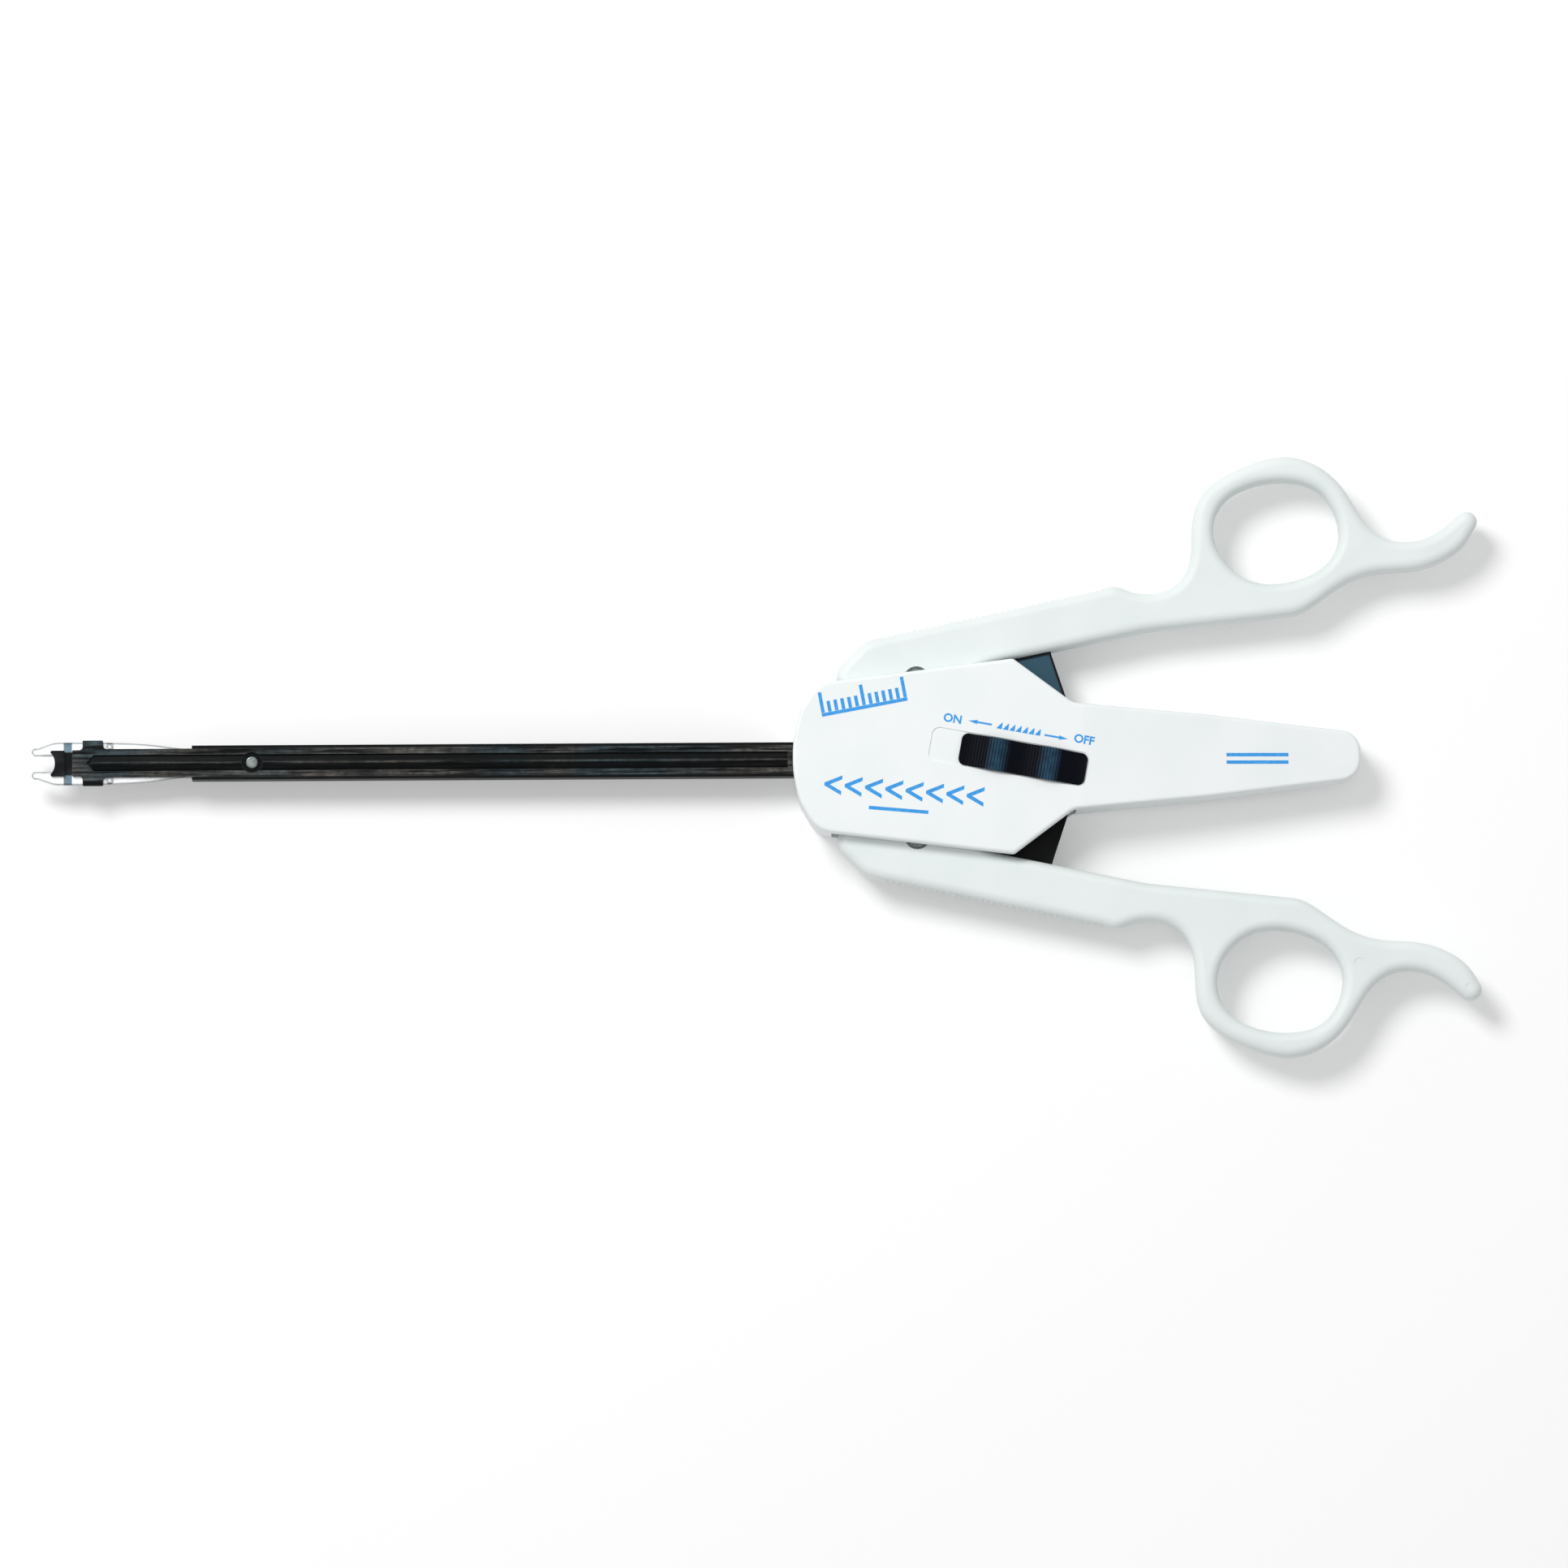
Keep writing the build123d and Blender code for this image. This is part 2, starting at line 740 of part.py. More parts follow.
# Drive block: slides in the body, carries the drive pin, the rack and the spring rod
abutment_rear_x = abutment_x + abutment_thickness / 2
collar_x = abutment_rear_x + return_spring_length
lever_space_low_z = lower_lever_z - lever_room
lever_space_high_z = upper_lever_z + lever_thickness + lever_room
lever_space_front_x = drive_pin_x - lever_room_front
lever_space_rear_x = drive_pin_x + lever_room_rear

with BuildPart() as drive_block:
    with BuildSketch(Plane.XY.offset(block_low_z)):
        with Locations(((block_front_x + block_rear_x) / 2, 0)):
            Rectangle(block_rear_x - block_front_x, 2 * block_half)
    extrude(amount=block_height)
    fillet(drive_block.edges().filter_by(Axis.Z), radius=block_corner_radius)
    with BuildSketch(Plane.YZ.offset(block_front_x)):
        with Locations((0, channel_axis_z)):
            Rectangle(channel_width, channel_height)
    extrude(amount=channel_rear_x - block_front_x, mode=Mode.SUBTRACT)
    with BuildSketch(Plane.XZ):
        with BuildLine():
            Polyline(
                (lever_space_front_x, lever_space_low_z),
                (lever_space_rear_x, lever_space_low_z),
                (lever_space_rear_x, lever_space_high_z),
                (lever_space_front_x, lever_space_high_z),
                close=True,
            )
        make_face()
    extrude(amount=2 * block_half, both=True, mode=Mode.SUBTRACT)
    with BuildSketch(Plane.XY.offset(block_low_z)):
        with Locations((drive_pin_x, 0)):
            Circle(drive_pin_radius)
    extrude(amount=block_height, mode=Mode.SUBTRACT)
    with BuildSketch(Plane.YZ.offset(block_rear_x)):
        with Locations((0, mid_z)):
            Circle(rod_radius)
    extrude(amount=collar_x + collar_length - block_rear_x)
    # Ratchet teeth in the top face, steep side towards the tip
    with BuildSketch(Plane.XZ):
        with Locations((channel_rear_x + rack_setback, block_high_z)):
            with GridLocations(rack_pitch, 1, rack_teeth, 1, align=(Align.MIN, Align.CENTER)):
                Polygon(
                    (0, 0),
                    (rack_root_share * rack_pitch, -rack_depth),
                    (rack_crest_share * rack_pitch, 0.01),
                    (0, 0.01),
                    align=None,
                )
    extrude(amount=pawl_half, both=True, mode=Mode.SUBTRACT)
save(drive_block, "drive_block")

with BuildPart() as drive_pin:
    with BuildSketch(Plane.XY.offset(block_low_z)):
        with Locations((drive_pin_x, 0)):
            Circle(drive_pin_radius)
    extrude(amount=block_height)
    chamfer(drive_pin.edges().filter_by(GeomType.CIRCLE), length=drive_pin_chamfer)
save(drive_pin, "drive_pin")

with BuildPart() as spring_collar:
    with BuildSketch(Plane.YZ.offset(collar_x)):
        with Locations((0, mid_z)):
            Circle(collar_radius)
            Circle(rod_radius, mode=Mode.SUBTRACT)
    extrude(amount=collar_length)
    chamfer(spring_collar.edges().filter_by(GeomType.CIRCLE), length=collar_chamfer)
save(spring_collar, "return_spring_collar")


def coil_spring(start_x, length, axis_z, coil_radius, wire_radius, turns):
    """A compression spring laid along X, its wire swept along a helix."""
    with BuildPart() as spring:
        span = length - 2 * wire_radius
        with BuildLine() as path:
            Helix(
                pitch=span / turns,
                height=span,
                radius=coil_radius,
                center=(start_x + wire_radius, 0, axis_z),
                direction=(1, 0, 0),
            )
        with BuildSketch(Plane(origin=path.line @ 0, z_dir=path.line % 0)):
            RegularPolygon(wire_radius, 6)
        sweep()
    return spring


spring_radius = rod_radius + return_spring_gap + return_spring_wire
return_spring = coil_spring(
    abutment_rear_x, return_spring_length, mid_z, spring_radius, return_spring_wire, return_spring_turns
)
save(return_spring, "return_spring")

# Crimping channel: the black outer U that slides over the jaw arms
with BuildPart() as crimping_channel:
    with BuildSketch(Plane.YZ.offset(channel_front_x)):
        with Locations((0, channel_axis_z)):
            Rectangle(channel_width, channel_height)
        with Locations((0, channel_axis_z + channel_floor)):
            Rectangle(channel_width - 2 * channel_wall, channel_height, mode=Mode.SUBTRACT)
    extrude(amount=channel_rear_x - channel_front_x)
    # The floor is cut back in a shallow V at the front, behind the walls' lead-in
    with BuildSketch(Plane.XY.offset(channel_low_z)):
        with Locations((channel_front_x, 0)):
            Polygon(
                (0, -channel_notch_half), (channel_notch_depth, 0), (0, channel_notch_half), align=None
            )
    extrude(amount=channel_floor, mode=Mode.SUBTRACT)
save(crimping_channel, "crimping_channel")

# Cartridge spine: the fixed top plate with its two rails, centre ridge, wings and rear tab
groove_front_x = wing_front_x + groove_setback
ridge_front_x = groove_front_x + ridge_setback
groove_half = spine_half - rail_width
groove_z = spine_top_z - groove_depth
groove_rear_x = front_x - 1.0

with BuildPart() as spine:
    with BuildSketch(Plane.XY.offset(spine_low_z)) as spine_plan:
        with BuildLine():
            Polyline(
                (spine_front_x, 0),
                (spine_front_x, plate_front_half),
                (wing_front_x, plate_front_half),
                (wing_front_x, wing_half),
                (wing_rear_x, wing_half),
                (wing_rear_x, spine_half),
                (spine_rear_x, spine_half),
                (spine_rear_x, 0),
            )
            mirror(about=Plane.XZ)
        make_face()
        for root_x, root_y, radius in (
            (spine_front_x, plate_front_half, 0.2),
            (wing_front_x, plate_front_half, 0.7),
            (wing_front_x, wing_half, 0.2),
            (wing_rear_x, wing_half, 0.2),
            (wing_rear_x, spine_half, 0.8),
        ):
            roots = [
                v
                for v in spine_plan.vertices()
                if abs(v.X - root_x) < 0.01 and abs(abs(v.Y) - root_y) < 0.01
            ]
            fillet(roots, radius=radius)
    extrude(amount=spine_thickness)
    # Centre groove with a pointed front end
    with BuildSketch(Plane.XY.offset(groove_z)):
        with BuildLine():
            Polyline(
                (groove_front_x, 0),
                (groove_front_x + groove_point_length, groove_half),
                (groove_rear_x, groove_half),
                (groove_rear_x, -groove_half),
                (groove_front_x + groove_point_length, -groove_half),
                close=True,
            )
        make_face()
    extrude(amount=groove_depth, mode=Mode.SUBTRACT)
    # Gable ridge along the groove
    with BuildSketch(Plane.YZ.offset(ridge_front_x)):
        Polygon(
            (-groove_half, groove_z), (groove_half, groove_z), (0, groove_z + ridge_height), align=None
        )
    extrude(amount=groove_rear_x - ridge_front_x)
    with BuildSketch(Plane.XY.offset(groove_z)):
        with Locations((rivet_x, 0)):
            Circle(rivet_recess_radius)
    extrude(amount=groove_depth, mode=Mode.SUBTRACT)
    with BuildSketch(Plane.XY.offset(spine_low_z)):
        with Locations((rivet_x, 0)):
            Circle(rivet_radius)
    extrude(amount=spine_thickness, mode=Mode.SUBTRACT)
    # Relief under the front for the tongue of the clip guide
    relief_front_x = spine_front_x - 1.0
    relief_rear_x = tongue_rear_x + tongue_root
    with BuildSketch(Plane.XY.offset(spine_low_z)):
        with Locations(((relief_front_x + relief_rear_x) / 2, 0)):
            Rectangle(relief_rear_x - relief_front_x, 2 * (tongue_half + sliding_gap))
    extrude(amount=tongue_thickness + tongue_room, mode=Mode.SUBTRACT)
    with BuildSketch(Plane.XY.offset(spine_top_z - weld)):
        with Locations((spine_tab_x, 0)):
            Rectangle(spine_tab_length, spine_tab_width)
    extrude(amount=spine_tab_high_z - spine_top_z + weld)
save(spine, "cartridge_spine")

# Clip guide: the notched nose between the jaws, its tongue held under the spine
nose_notch_radius = (nose_notch_half**2 + nose_notch_depth**2) / (2 * nose_notch_depth)
with BuildPart() as clip_guide:
    with BuildSketch(Plane.XY.offset(spine_low_z)):
        with Locations(((nose_tip_x + nose_rear_x) / 2, 0)):
            RectangleRounded(nose_rear_x - nose_tip_x, 2 * nose_half, radius=nose_edge_radius)
    extrude(amount=spine_thickness - nose_sink)
    with BuildSketch(Plane.XY.offset(spine_low_z)):
        with Locations((nose_tip_x + nose_notch_depth - nose_notch_radius, 0)):
            Circle(nose_notch_radius)
    extrude(amount=spine_thickness, mode=Mode.SUBTRACT)
    with BuildSketch(Plane.XY.offset(spine_low_z)):
        with BuildLine():
            Polyline(
                (nose_rear_x - tongue_root, tongue_half),
                (tongue_rear_x, tongue_half),
                (tongue_rear_x, -tongue_half),
                (nose_rear_x - tongue_root, -tongue_half),
                close=True,
            )
        make_face()
    extrude(amount=tongue_thickness)
save(clip_guide, "clip_guide_nose")

# Cartridge tray: the open box under the jaws that holds the stack of clips
with BuildPart() as tray:
    low_wall_z = jaw_low_z - jaw_floor_gap
    tray_rear_x = spine_rear_x
    high_wall_x = rivet_x + tray_step
    with BuildSketch(Plane.YZ.offset(tray_front_x)):
        with Locations((0, (tray_low_z + low_wall_z) / 2)):
            Rectangle(2 * tray_half, low_wall_z - tray_low_z)
    extrude(amount=tray_rear_x - tray_front_x)
    with BuildSketch(Plane.YZ.offset(high_wall_x)):
        with Locations((0, (tray_low_z + spine_low_z) / 2)):
            Rectangle(2 * tray_half, spine_low_z - tray_low_z)
    extrude(amount=tray_rear_x - high_wall_x)
    inner_half = tray_half - tray_wall
    with BuildSketch(Plane.YZ.offset(tray_front_x + tray_front_wall)):
        with Locations((0, tray_low_z + tray_floor + tray_cut_height / 2)):
            Rectangle(2 * inner_half, tray_cut_height)
    extrude(amount=tray_rear_x - tray_rear_wall - tray_front_x - tray_front_wall, mode=Mode.SUBTRACT)
    # The feed bar's way out through the rear wall
    with BuildSketch(Plane.YZ.offset(tray_rear_x - tray_rear_wall - overcut)):
        with Locations((0, tray_low_z + tray_floor + feed_slot_height / 2)):
            Rectangle(2 * feed_bar_half + 2 * slot_clearance, feed_slot_height)
    extrude(amount=tray_rear_wall + 2 * overcut, mode=Mode.SUBTRACT)
    # Slanted front that lifts each clip up to the jaws
    with BuildSketch(Plane.XZ):
        Polygon(
            (tray_front_x, tray_low_z),
            (tray_front_x + tray_ramp, tray_low_z),
            (tray_front_x, tray_low_z + tray_ramp),
            align=None,
        )
    extrude(amount=2 * tray_half, both=True, mode=Mode.SUBTRACT)
save(tray, "cartridge_tray")

# Feed bar: the flat strip that pushes the next clip, driven with the block
feed_bar_z = tray_low_z + tray_floor + feed_bar_gap
feed_bar_front_x = first_clip_x - feed_bar_reach
with BuildPart() as feed_bar:
    with BuildSketch(Plane.XY.offset(feed_bar_z)):
        with BuildLine():
            Polyline(
                (feed_bar_front_x, feed_bar_tip_half),
                (feed_bar_front_x + feed_bar_taper, feed_bar_half),
                (channel_rear_x, feed_bar_half),
                (channel_rear_x, -feed_bar_half),
                (feed_bar_front_x + feed_bar_taper, -feed_bar_half),
                (feed_bar_front_x, -feed_bar_tip_half),
                close=True,
            )
        make_face()
    extrude(amount=feed_bar_thickness)
save(feed_bar, "feed_bar")

# Clip stack: open V clips nose to tail in the tray
clip_low_z = feed_bar_z + feed_bar_thickness + stack_gap
shoulder_along, shoulder_across = clip_shoulder
with BuildPart() as clips:
    with BuildSketch(Plane.XY.offset(clip_low_z)):
        with Locations((first_clip_x, 0)):
            with GridLocations(clip_pitch, 1, clip_count, 1, align=(Align.MIN, Align.CENTER)):
                Polygon(
                    (-clip_leg, clip_half - clip_wire / 2),
                    (-clip_leg, clip_half + clip_wire / 2),
                    (shoulder_along, shoulder_across),
                    (clip_crown, 0.0),
                    (shoulder_along, -shoulder_across),
                    (-clip_leg, -clip_half - clip_wire / 2),
                    (-clip_leg, -clip_half + clip_wire / 2),
                    (clip_crotch, 0.0),
                    align=None,
                )
    extrude(amount=clip_height)
save(clips, "clip_stack")

# Follower and its long spring, behind the last clip
last_clip_x = first_clip_x + (clip_count - 1) * clip_pitch
follower_front_x = last_clip_x + clip_crown + follower_gap
follower_rear_x = follower_front_x + follower_length
follower_half = inner_half - slot_clearance
follower_high_z = spine_low_z - slot_clearance
spring_axis_z = (clip_low_z + follower_high_z) / 2
with BuildPart() as follower:
    with BuildSketch(Plane.XY.offset(clip_low_z)):
        with BuildLine():
            Polyline(
                (follower_front_x, follower_tip_half),
                (follower_front_x + follower_taper, follower_half),
                (follower_rear_x, follower_half),
                (follower_rear_x, -follower_half),
                (follower_front_x + follower_taper, -follower_half),
                (follower_front_x, -follower_tip_half),
                close=True,
            )
        make_face()
    extrude(amount=follower_high_z - clip_low_z)
save(follower, "clip_follower")

follower_spring = coil_spring(
    follower_rear_x,
    tray_rear_x - tray_rear_wall - follower_rear_x,
    spring_axis_z,
    follower_spring_radius,
    follower_spring_wire,
    follower_spring_turns,
)
save(follower_spring, "follower_spring")


# Jaws: two flared strips half-lapped on one rivet
def jaw_outline():
    """Plan of the upper jaw: tip, straight biting part, flared cam arm and rivet eye."""
    with BuildSketch(mode=Mode.PRIVATE) as plan:
        with BuildLine():
            cam_start = (channel_front_x, 2.84)
            cam_end = (channel_front_x - drive_stroke, 3.4)
            Polyline((rivet_x, jaw_eye_radius), (rivet_x - 4.0, 2.3), cam_start)
            ThreePointArc(cam_start, (channel_front_x - drive_stroke / 2, 3.05), cam_end)
            Spline(
                cam_end,
                (-158.7, 4.05),
                (-163.6, 4.24),
                (wing_front_x, jaw_outer_half),
                tangents=((-1, 0.17), (-1, 0)),
                tangent_scalars=(1, 1),
            )
            Line((wing_front_x, jaw_outer_half), (-173.1, jaw_outer_half))
            Spline(
                (-173.1, jaw_outer_half),
                (-175.3, 3.8),
                (-177.3, 3.05),
                tangents=((-1, 0), (-0.93, -0.37)),
                tangent_scalars=(1, 1),
            )
            ThreePointArc((-177.3, 3.05), (jaw_tip_x, 2.2), (-177.8, jaw_gap_half))
            Polyline(
                (-177.8, jaw_gap_half),
                (wing_front_x + 0.5, jaw_gap_half),
                (wing_rear_x, 2.5),
                (-158.0, 2.45),
                (-151.6, 1.8),
                (channel_front_x, 1.3),
                (rivet_x - 3.2, 0.5),
                (rivet_x, 0.5),
            )
            Line((rivet_x, 0.5), (rivet_x, jaw_eye_radius))
        make_face()
        with Locations((rivet_x, 0)):
            Circle(jaw_eye_radius)
    return plan.sketch


for name, side in (("upper_jaw", 1), ("lower_jaw", -1)):
    with BuildPart() as jaw:
        with BuildSketch(Plane.XY.offset(jaw_low_z)):
            add(jaw_outline())
        extrude(amount=jaw_thickness)
        # Each eye keeps half of the thickness so that the two lie on one rivet
        lap_z = jaw_low_z if side > 0 else jaw_mid_z - jaw_gap_z / 2
        with BuildSketch(Plane.XY.offset(lap_z)):
            with Locations((rivet_x, 0)):
                Circle(jaw_eye_radius + jaw_eye_room)
        extrude(amount=jaw_thickness / 2 + jaw_gap_z / 2, mode=Mode.SUBTRACT)
        with BuildSketch(Plane.XY.offset(jaw_low_z)):
            with Locations((rivet_x, 0)):
                Circle(rivet_radius + sliding_gap)
        extrude(amount=jaw_thickness, mode=Mode.SUBTRACT)
        # Groove along the biting face that holds a clip's leg
        jaw_groove_front_x = jaw_tip_x + 2.2
        jaw_groove_rear_x = wing_front_x + 0.2
        with BuildSketch(Plane.XY.offset(jaw_mid_z - jaw_groove_width / 2)):
            with Locations(((jaw_groove_front_x + jaw_groove_rear_x) / 2, jaw_gap_half)):
                Rectangle(jaw_groove_rear_x - jaw_groove_front_x, 2 * jaw_groove_depth)
        extrude(amount=jaw_groove_width, mode=Mode.SUBTRACT)
        # Stop peg beside the spine
        with BuildSketch(Plane.XY.offset(jaw_high_z)):
            with Locations((jaw_peg_x, jaw_peg_half)):
                Circle(jaw_peg_radius)
        extrude(amount=jaw_peg_height)
        if side < 0:
            mirror(about=Plane.XZ, mode=Mode.REPLACE)
    save(jaw, name)

# Jaw rivet with a domed head in the spine's recess and a thin tail under the jaws
with BuildPart() as jaw_rivet:
    rivet_low_z = jaw_low_z - sliding_gap
    with BuildSketch(Plane.XY.offset(rivet_low_z - rivet_tail_thickness)):
        with Locations((rivet_x, 0)):
            Circle(rivet_tail_radius)
    extrude(amount=rivet_tail_thickness)
    with BuildSketch(Plane.XY.offset(rivet_low_z)):
        with Locations((rivet_x, 0)):
            Circle(rivet_radius)
    extrude(amount=groove_z - rivet_low_z)
    with BuildSketch(Plane.XY.offset(groove_z)):
        with Locations((rivet_x, 0)):
            Circle(rivet_head_radius)
    extrude(amount=rivet_head_height)
    fillet(jaw_rivet.faces().sort_by(Axis.Z)[-1].edges(), radius=rivet_dome_radius)
save(jaw_rivet, "jaw_rivet")

# Ratchet switch: a long thumb slide with two humps and fine ribs
switch_low_z = recess_floor_z + sliding_gap
along = Vector(math.cos(math.radians(switch_angle)), math.sin(math.radians(switch_angle)), 0)
switch_side = Plane(origin=(switch_x, switch_y, 0), x_dir=along, z_dir=(along.Y, -along.X, 0))
lip_high_z = roof_z - slot_clearance
lip_low_z = lip_high_z - stem_lip_thickness
flat_z = switch_low_z + switch_slab
hump_top_z = flat_z + switch_hump
rib_count = round(switch_length / rib_pitch)

with BuildPart() as switch:
    with BuildSketch(switch_side):
        with BuildLine():
            crown = Spline(
                (-switch_length / 2, flat_z - switch_end_drop),
                (-switch_length / 2 + switch_end_flat, flat_z),
                (-hump_x, hump_top_z),
                (0, flat_z + switch_valley_lift),
                (hump_x, hump_top_z),
                (switch_length / 2 - switch_end_flat, flat_z),
                (switch_length / 2, flat_z - switch_end_drop),
            )
            Polyline(
                crown @ 1,
                (switch_length / 2, switch_low_z),
                (-switch_length / 2, switch_low_z),
                crown @ 0,
            )
        make_face()
        # Fine cross ribs, left between grooves cut all along the crown
        with Locations(*(crown @ (i / rib_count) for i in range(1, rib_count))):
            Rectangle(rib_gap, 2 * rib_depth, mode=Mode.SUBTRACT)
    extrude(amount=switch_width / 2, both=True)
    with BuildSketch(switch_plane.offset(switch_low_z)):
        RectangleRounded(switch_length, switch_width, radius=switch_corner_radius)
    extrude(amount=2 * switch_slab + switch_hump, mode=Mode.INTERSECT)
    with BuildSketch(switch_plane.offset(lip_low_z)):
        RectangleRounded(stem_length, stem_width, radius=stem_corner_radius)
    extrude(amount=switch_low_z + weld - lip_low_z)
    with BuildSketch(switch_plane.offset(lip_low_z)):
        RectangleRounded(stem_length, stem_width + 2 * stem_lip, radius=stem_corner_radius)
    extrude(amount=stem_lip_thickness)
save(switch, "ratchet_switch")

# Leaf spring beside the switch's stem, pressed against the cover's underside
with BuildPart() as detent:
    with BuildSketch(switch_plane.offset(roof_z - detent_height)):
        with Locations((-switch_travel / 2, stem_width / 2 + detent_offset)):
            Rectangle(detent_length, detent_thickness)
            with Locations((-detent_length / 2, 0), (detent_length / 2, 0)):
                Circle(detent_knob_radius)
    extrude(amount=detent_height)
save(detent, "switch_detent_spring")

# Ratchet pawl and its pin
pawl_tip_x = pawl_pivot_x - pawl_length
pawl_rear_x = pawl_pivot_x + pawl_tail
pawl_tip_z = block_high_z + pawl_tooth_gap
pawl_belly_z = pawl_pivot_z - pawl_belly
pawl_top_z = lip_low_z - slot_clearance
with BuildPart() as pawl:
    with BuildSketch(Plane.XZ):
        with BuildLine():
            Polyline(
                (pawl_tip_x, pawl_tip_z),
                (pawl_tip_x + pawl_tooth, pawl_tip_z),
                (pawl_tip_x + 2 * pawl_tooth, pawl_belly_z),
                (pawl_rear_x, pawl_belly_z),
                (pawl_rear_x, pawl_top_z),
                (pawl_tip_x, pawl_top_z),
                close=True,
            )
        make_face()
        with Locations((pawl_pivot_x, pawl_pivot_z)):
            Circle(pawl_pin_radius + pawl_eye_wall)
            Circle(pawl_pin_radius + sliding_gap, mode=Mode.SUBTRACT)
    extrude(amount=pawl_half - pawl_side_gap, both=True)
save(pawl, "ratchet_pawl")

with BuildPart() as pawl_pin:
    with BuildSketch(Plane.XZ):
        with Locations((pawl_pivot_x, pawl_pivot_z)):
            Circle(pawl_pin_radius)
    extrude(amount=pawl_half + sliding_gap + pawl_ear_thickness, both=True)
save(pawl_pin, "pawl_pin")
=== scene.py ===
"""Surgical clip applier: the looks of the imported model, in the order in which it is put together."""

import math

import bpy
import numpy as np
from mathutils.bvhtree import BVHTree
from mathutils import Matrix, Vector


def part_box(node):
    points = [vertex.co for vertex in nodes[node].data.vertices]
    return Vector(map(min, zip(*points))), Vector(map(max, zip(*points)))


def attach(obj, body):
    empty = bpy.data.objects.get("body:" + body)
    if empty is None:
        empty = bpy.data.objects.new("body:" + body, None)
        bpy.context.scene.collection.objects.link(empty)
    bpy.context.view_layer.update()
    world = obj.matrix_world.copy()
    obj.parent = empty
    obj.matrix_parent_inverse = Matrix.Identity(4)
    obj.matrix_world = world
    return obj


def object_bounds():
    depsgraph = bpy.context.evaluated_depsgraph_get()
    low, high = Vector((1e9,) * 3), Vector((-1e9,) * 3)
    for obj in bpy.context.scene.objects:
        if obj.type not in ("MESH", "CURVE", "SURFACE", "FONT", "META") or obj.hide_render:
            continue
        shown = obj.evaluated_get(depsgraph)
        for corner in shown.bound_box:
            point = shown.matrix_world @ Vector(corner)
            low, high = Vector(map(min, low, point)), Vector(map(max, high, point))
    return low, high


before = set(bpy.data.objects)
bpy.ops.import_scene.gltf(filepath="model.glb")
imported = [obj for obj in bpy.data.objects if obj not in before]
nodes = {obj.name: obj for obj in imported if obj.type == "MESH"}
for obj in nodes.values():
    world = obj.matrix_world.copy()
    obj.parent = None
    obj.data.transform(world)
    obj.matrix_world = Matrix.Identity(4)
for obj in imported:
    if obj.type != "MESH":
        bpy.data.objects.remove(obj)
cad_low, cad_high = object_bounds()


# Covers: two moulded shells of pale glass-filled plastic, pressed together on posts and pegs.
# Their satin faces carry the fine grain of a spark-eroded mould, and their edges are a little
# glossier where hands polish them.

GRAIN_PER_METRE = 2600
CLOUD_PER_METRE = 90
COVER_COLOUR = (0.89, 0.925, 0.93, 1)
COVER_SHADE = (0.86, 0.90, 0.905, 1)


def plain_material(name, **settings):
    """A material with one Principled shader, whose sockets take the given plain values."""
    material = bpy.data.materials.new(name)
    material.use_nodes = True
    shader = material.node_tree.nodes["Principled BSDF"]
    for socket, value in settings.items():
        shader.inputs[socket.replace("_", " ")].default_value = value
    return material, material.node_tree, shader


def noise_of(tree, coordinates, scale, detail, roughness=0.5):
    """A noise texture on the given coordinates; returns its plain value."""
    noise = tree.nodes.new("ShaderNodeTexNoise")
    noise.inputs["Scale"].default_value = scale
    noise.inputs["Detail"].default_value = detail
    noise.inputs["Roughness"].default_value = roughness
    tree.links.new(coordinates, noise.inputs["Vector"])
    return noise.outputs[0]


def ranged(tree, value, low, high, to_low=0.0, to_high=1.0):
    """The value taken from the range low..high to the range to_low..to_high, and held there."""
    change = tree.nodes.new("ShaderNodeMapRange")
    for socket, number in zip(("From Min", "From Max", "To Min", "To Max"), (low, high, to_low, to_high)):
        change.inputs[socket].default_value = number
    tree.links.new(value, change.inputs["Value"])
    return change.outputs[0]


def mixed(tree, share, first, second):
    """The two colours mixed by the share, which is 0 for the first and 1 for the second."""
    mix = tree.nodes.new("ShaderNodeMix")
    mix.data_type = "RGBA"
    tree.links.new(share, mix.inputs["Factor"])
    for colour, socket in ((first, "A"), (second, "B")):
        place = next(s for s in mix.inputs if s.name == socket and s.type == "RGBA")
        if isinstance(colour, tuple):
            place.default_value = colour
        else:
            tree.links.new(colour, place)
    return next(s for s in mix.outputs if s.type == "RGBA")


def combined(tree, operation, *values, clamp=False):
    """A math node on plain numbers or sockets; returns its value."""
    node = tree.nodes.new("ShaderNodeMath")
    node.operation = operation
    node.use_clamp = clamp
    for socket, value in zip(node.inputs, values):
        if isinstance(value, float):
            socket.default_value = value
        else:
            tree.links.new(value, socket)
    return node.outputs[0]


def bumped(tree, shader, height, distance, strength=1.0):
    """Feeds the height, in the given distance in metres, to the shader's normal."""
    bump = tree.nodes.new("ShaderNodeBump")
    bump.inputs["Distance"].default_value = distance
    bump.inputs["Strength"].default_value = strength
    tree.links.new(height, bump.inputs["Height"])
    tree.links.new(bump.outputs[0], shader.inputs["Normal"])


def shared_group(name, inputs, outputs):
    """A shader node group with the named number inputs (name: value) and the named number outputs."""
    group = bpy.data.node_groups.new(name, "ShaderNodeTree")
    for socket, value in inputs.items():
        made = group.interface.new_socket(socket, in_out="INPUT", socket_type="NodeSocketFloat")
        made.default_value = value
    for socket in outputs:
        group.interface.new_socket(socket, in_out="OUTPUT", socket_type="NodeSocketFloat")
    return group, group.nodes.new("NodeGroupInput"), group.nodes.new("NodeGroupOutput")


def placed(tree, group, **values):
    """Places a shared group in a material with its own values."""
    node = tree.nodes.new("ShaderNodeGroup")
    node.node_tree = group
    for socket, value in values.items():
        node.inputs[socket.replace("_", " ")].default_value = value
    return node.outputs


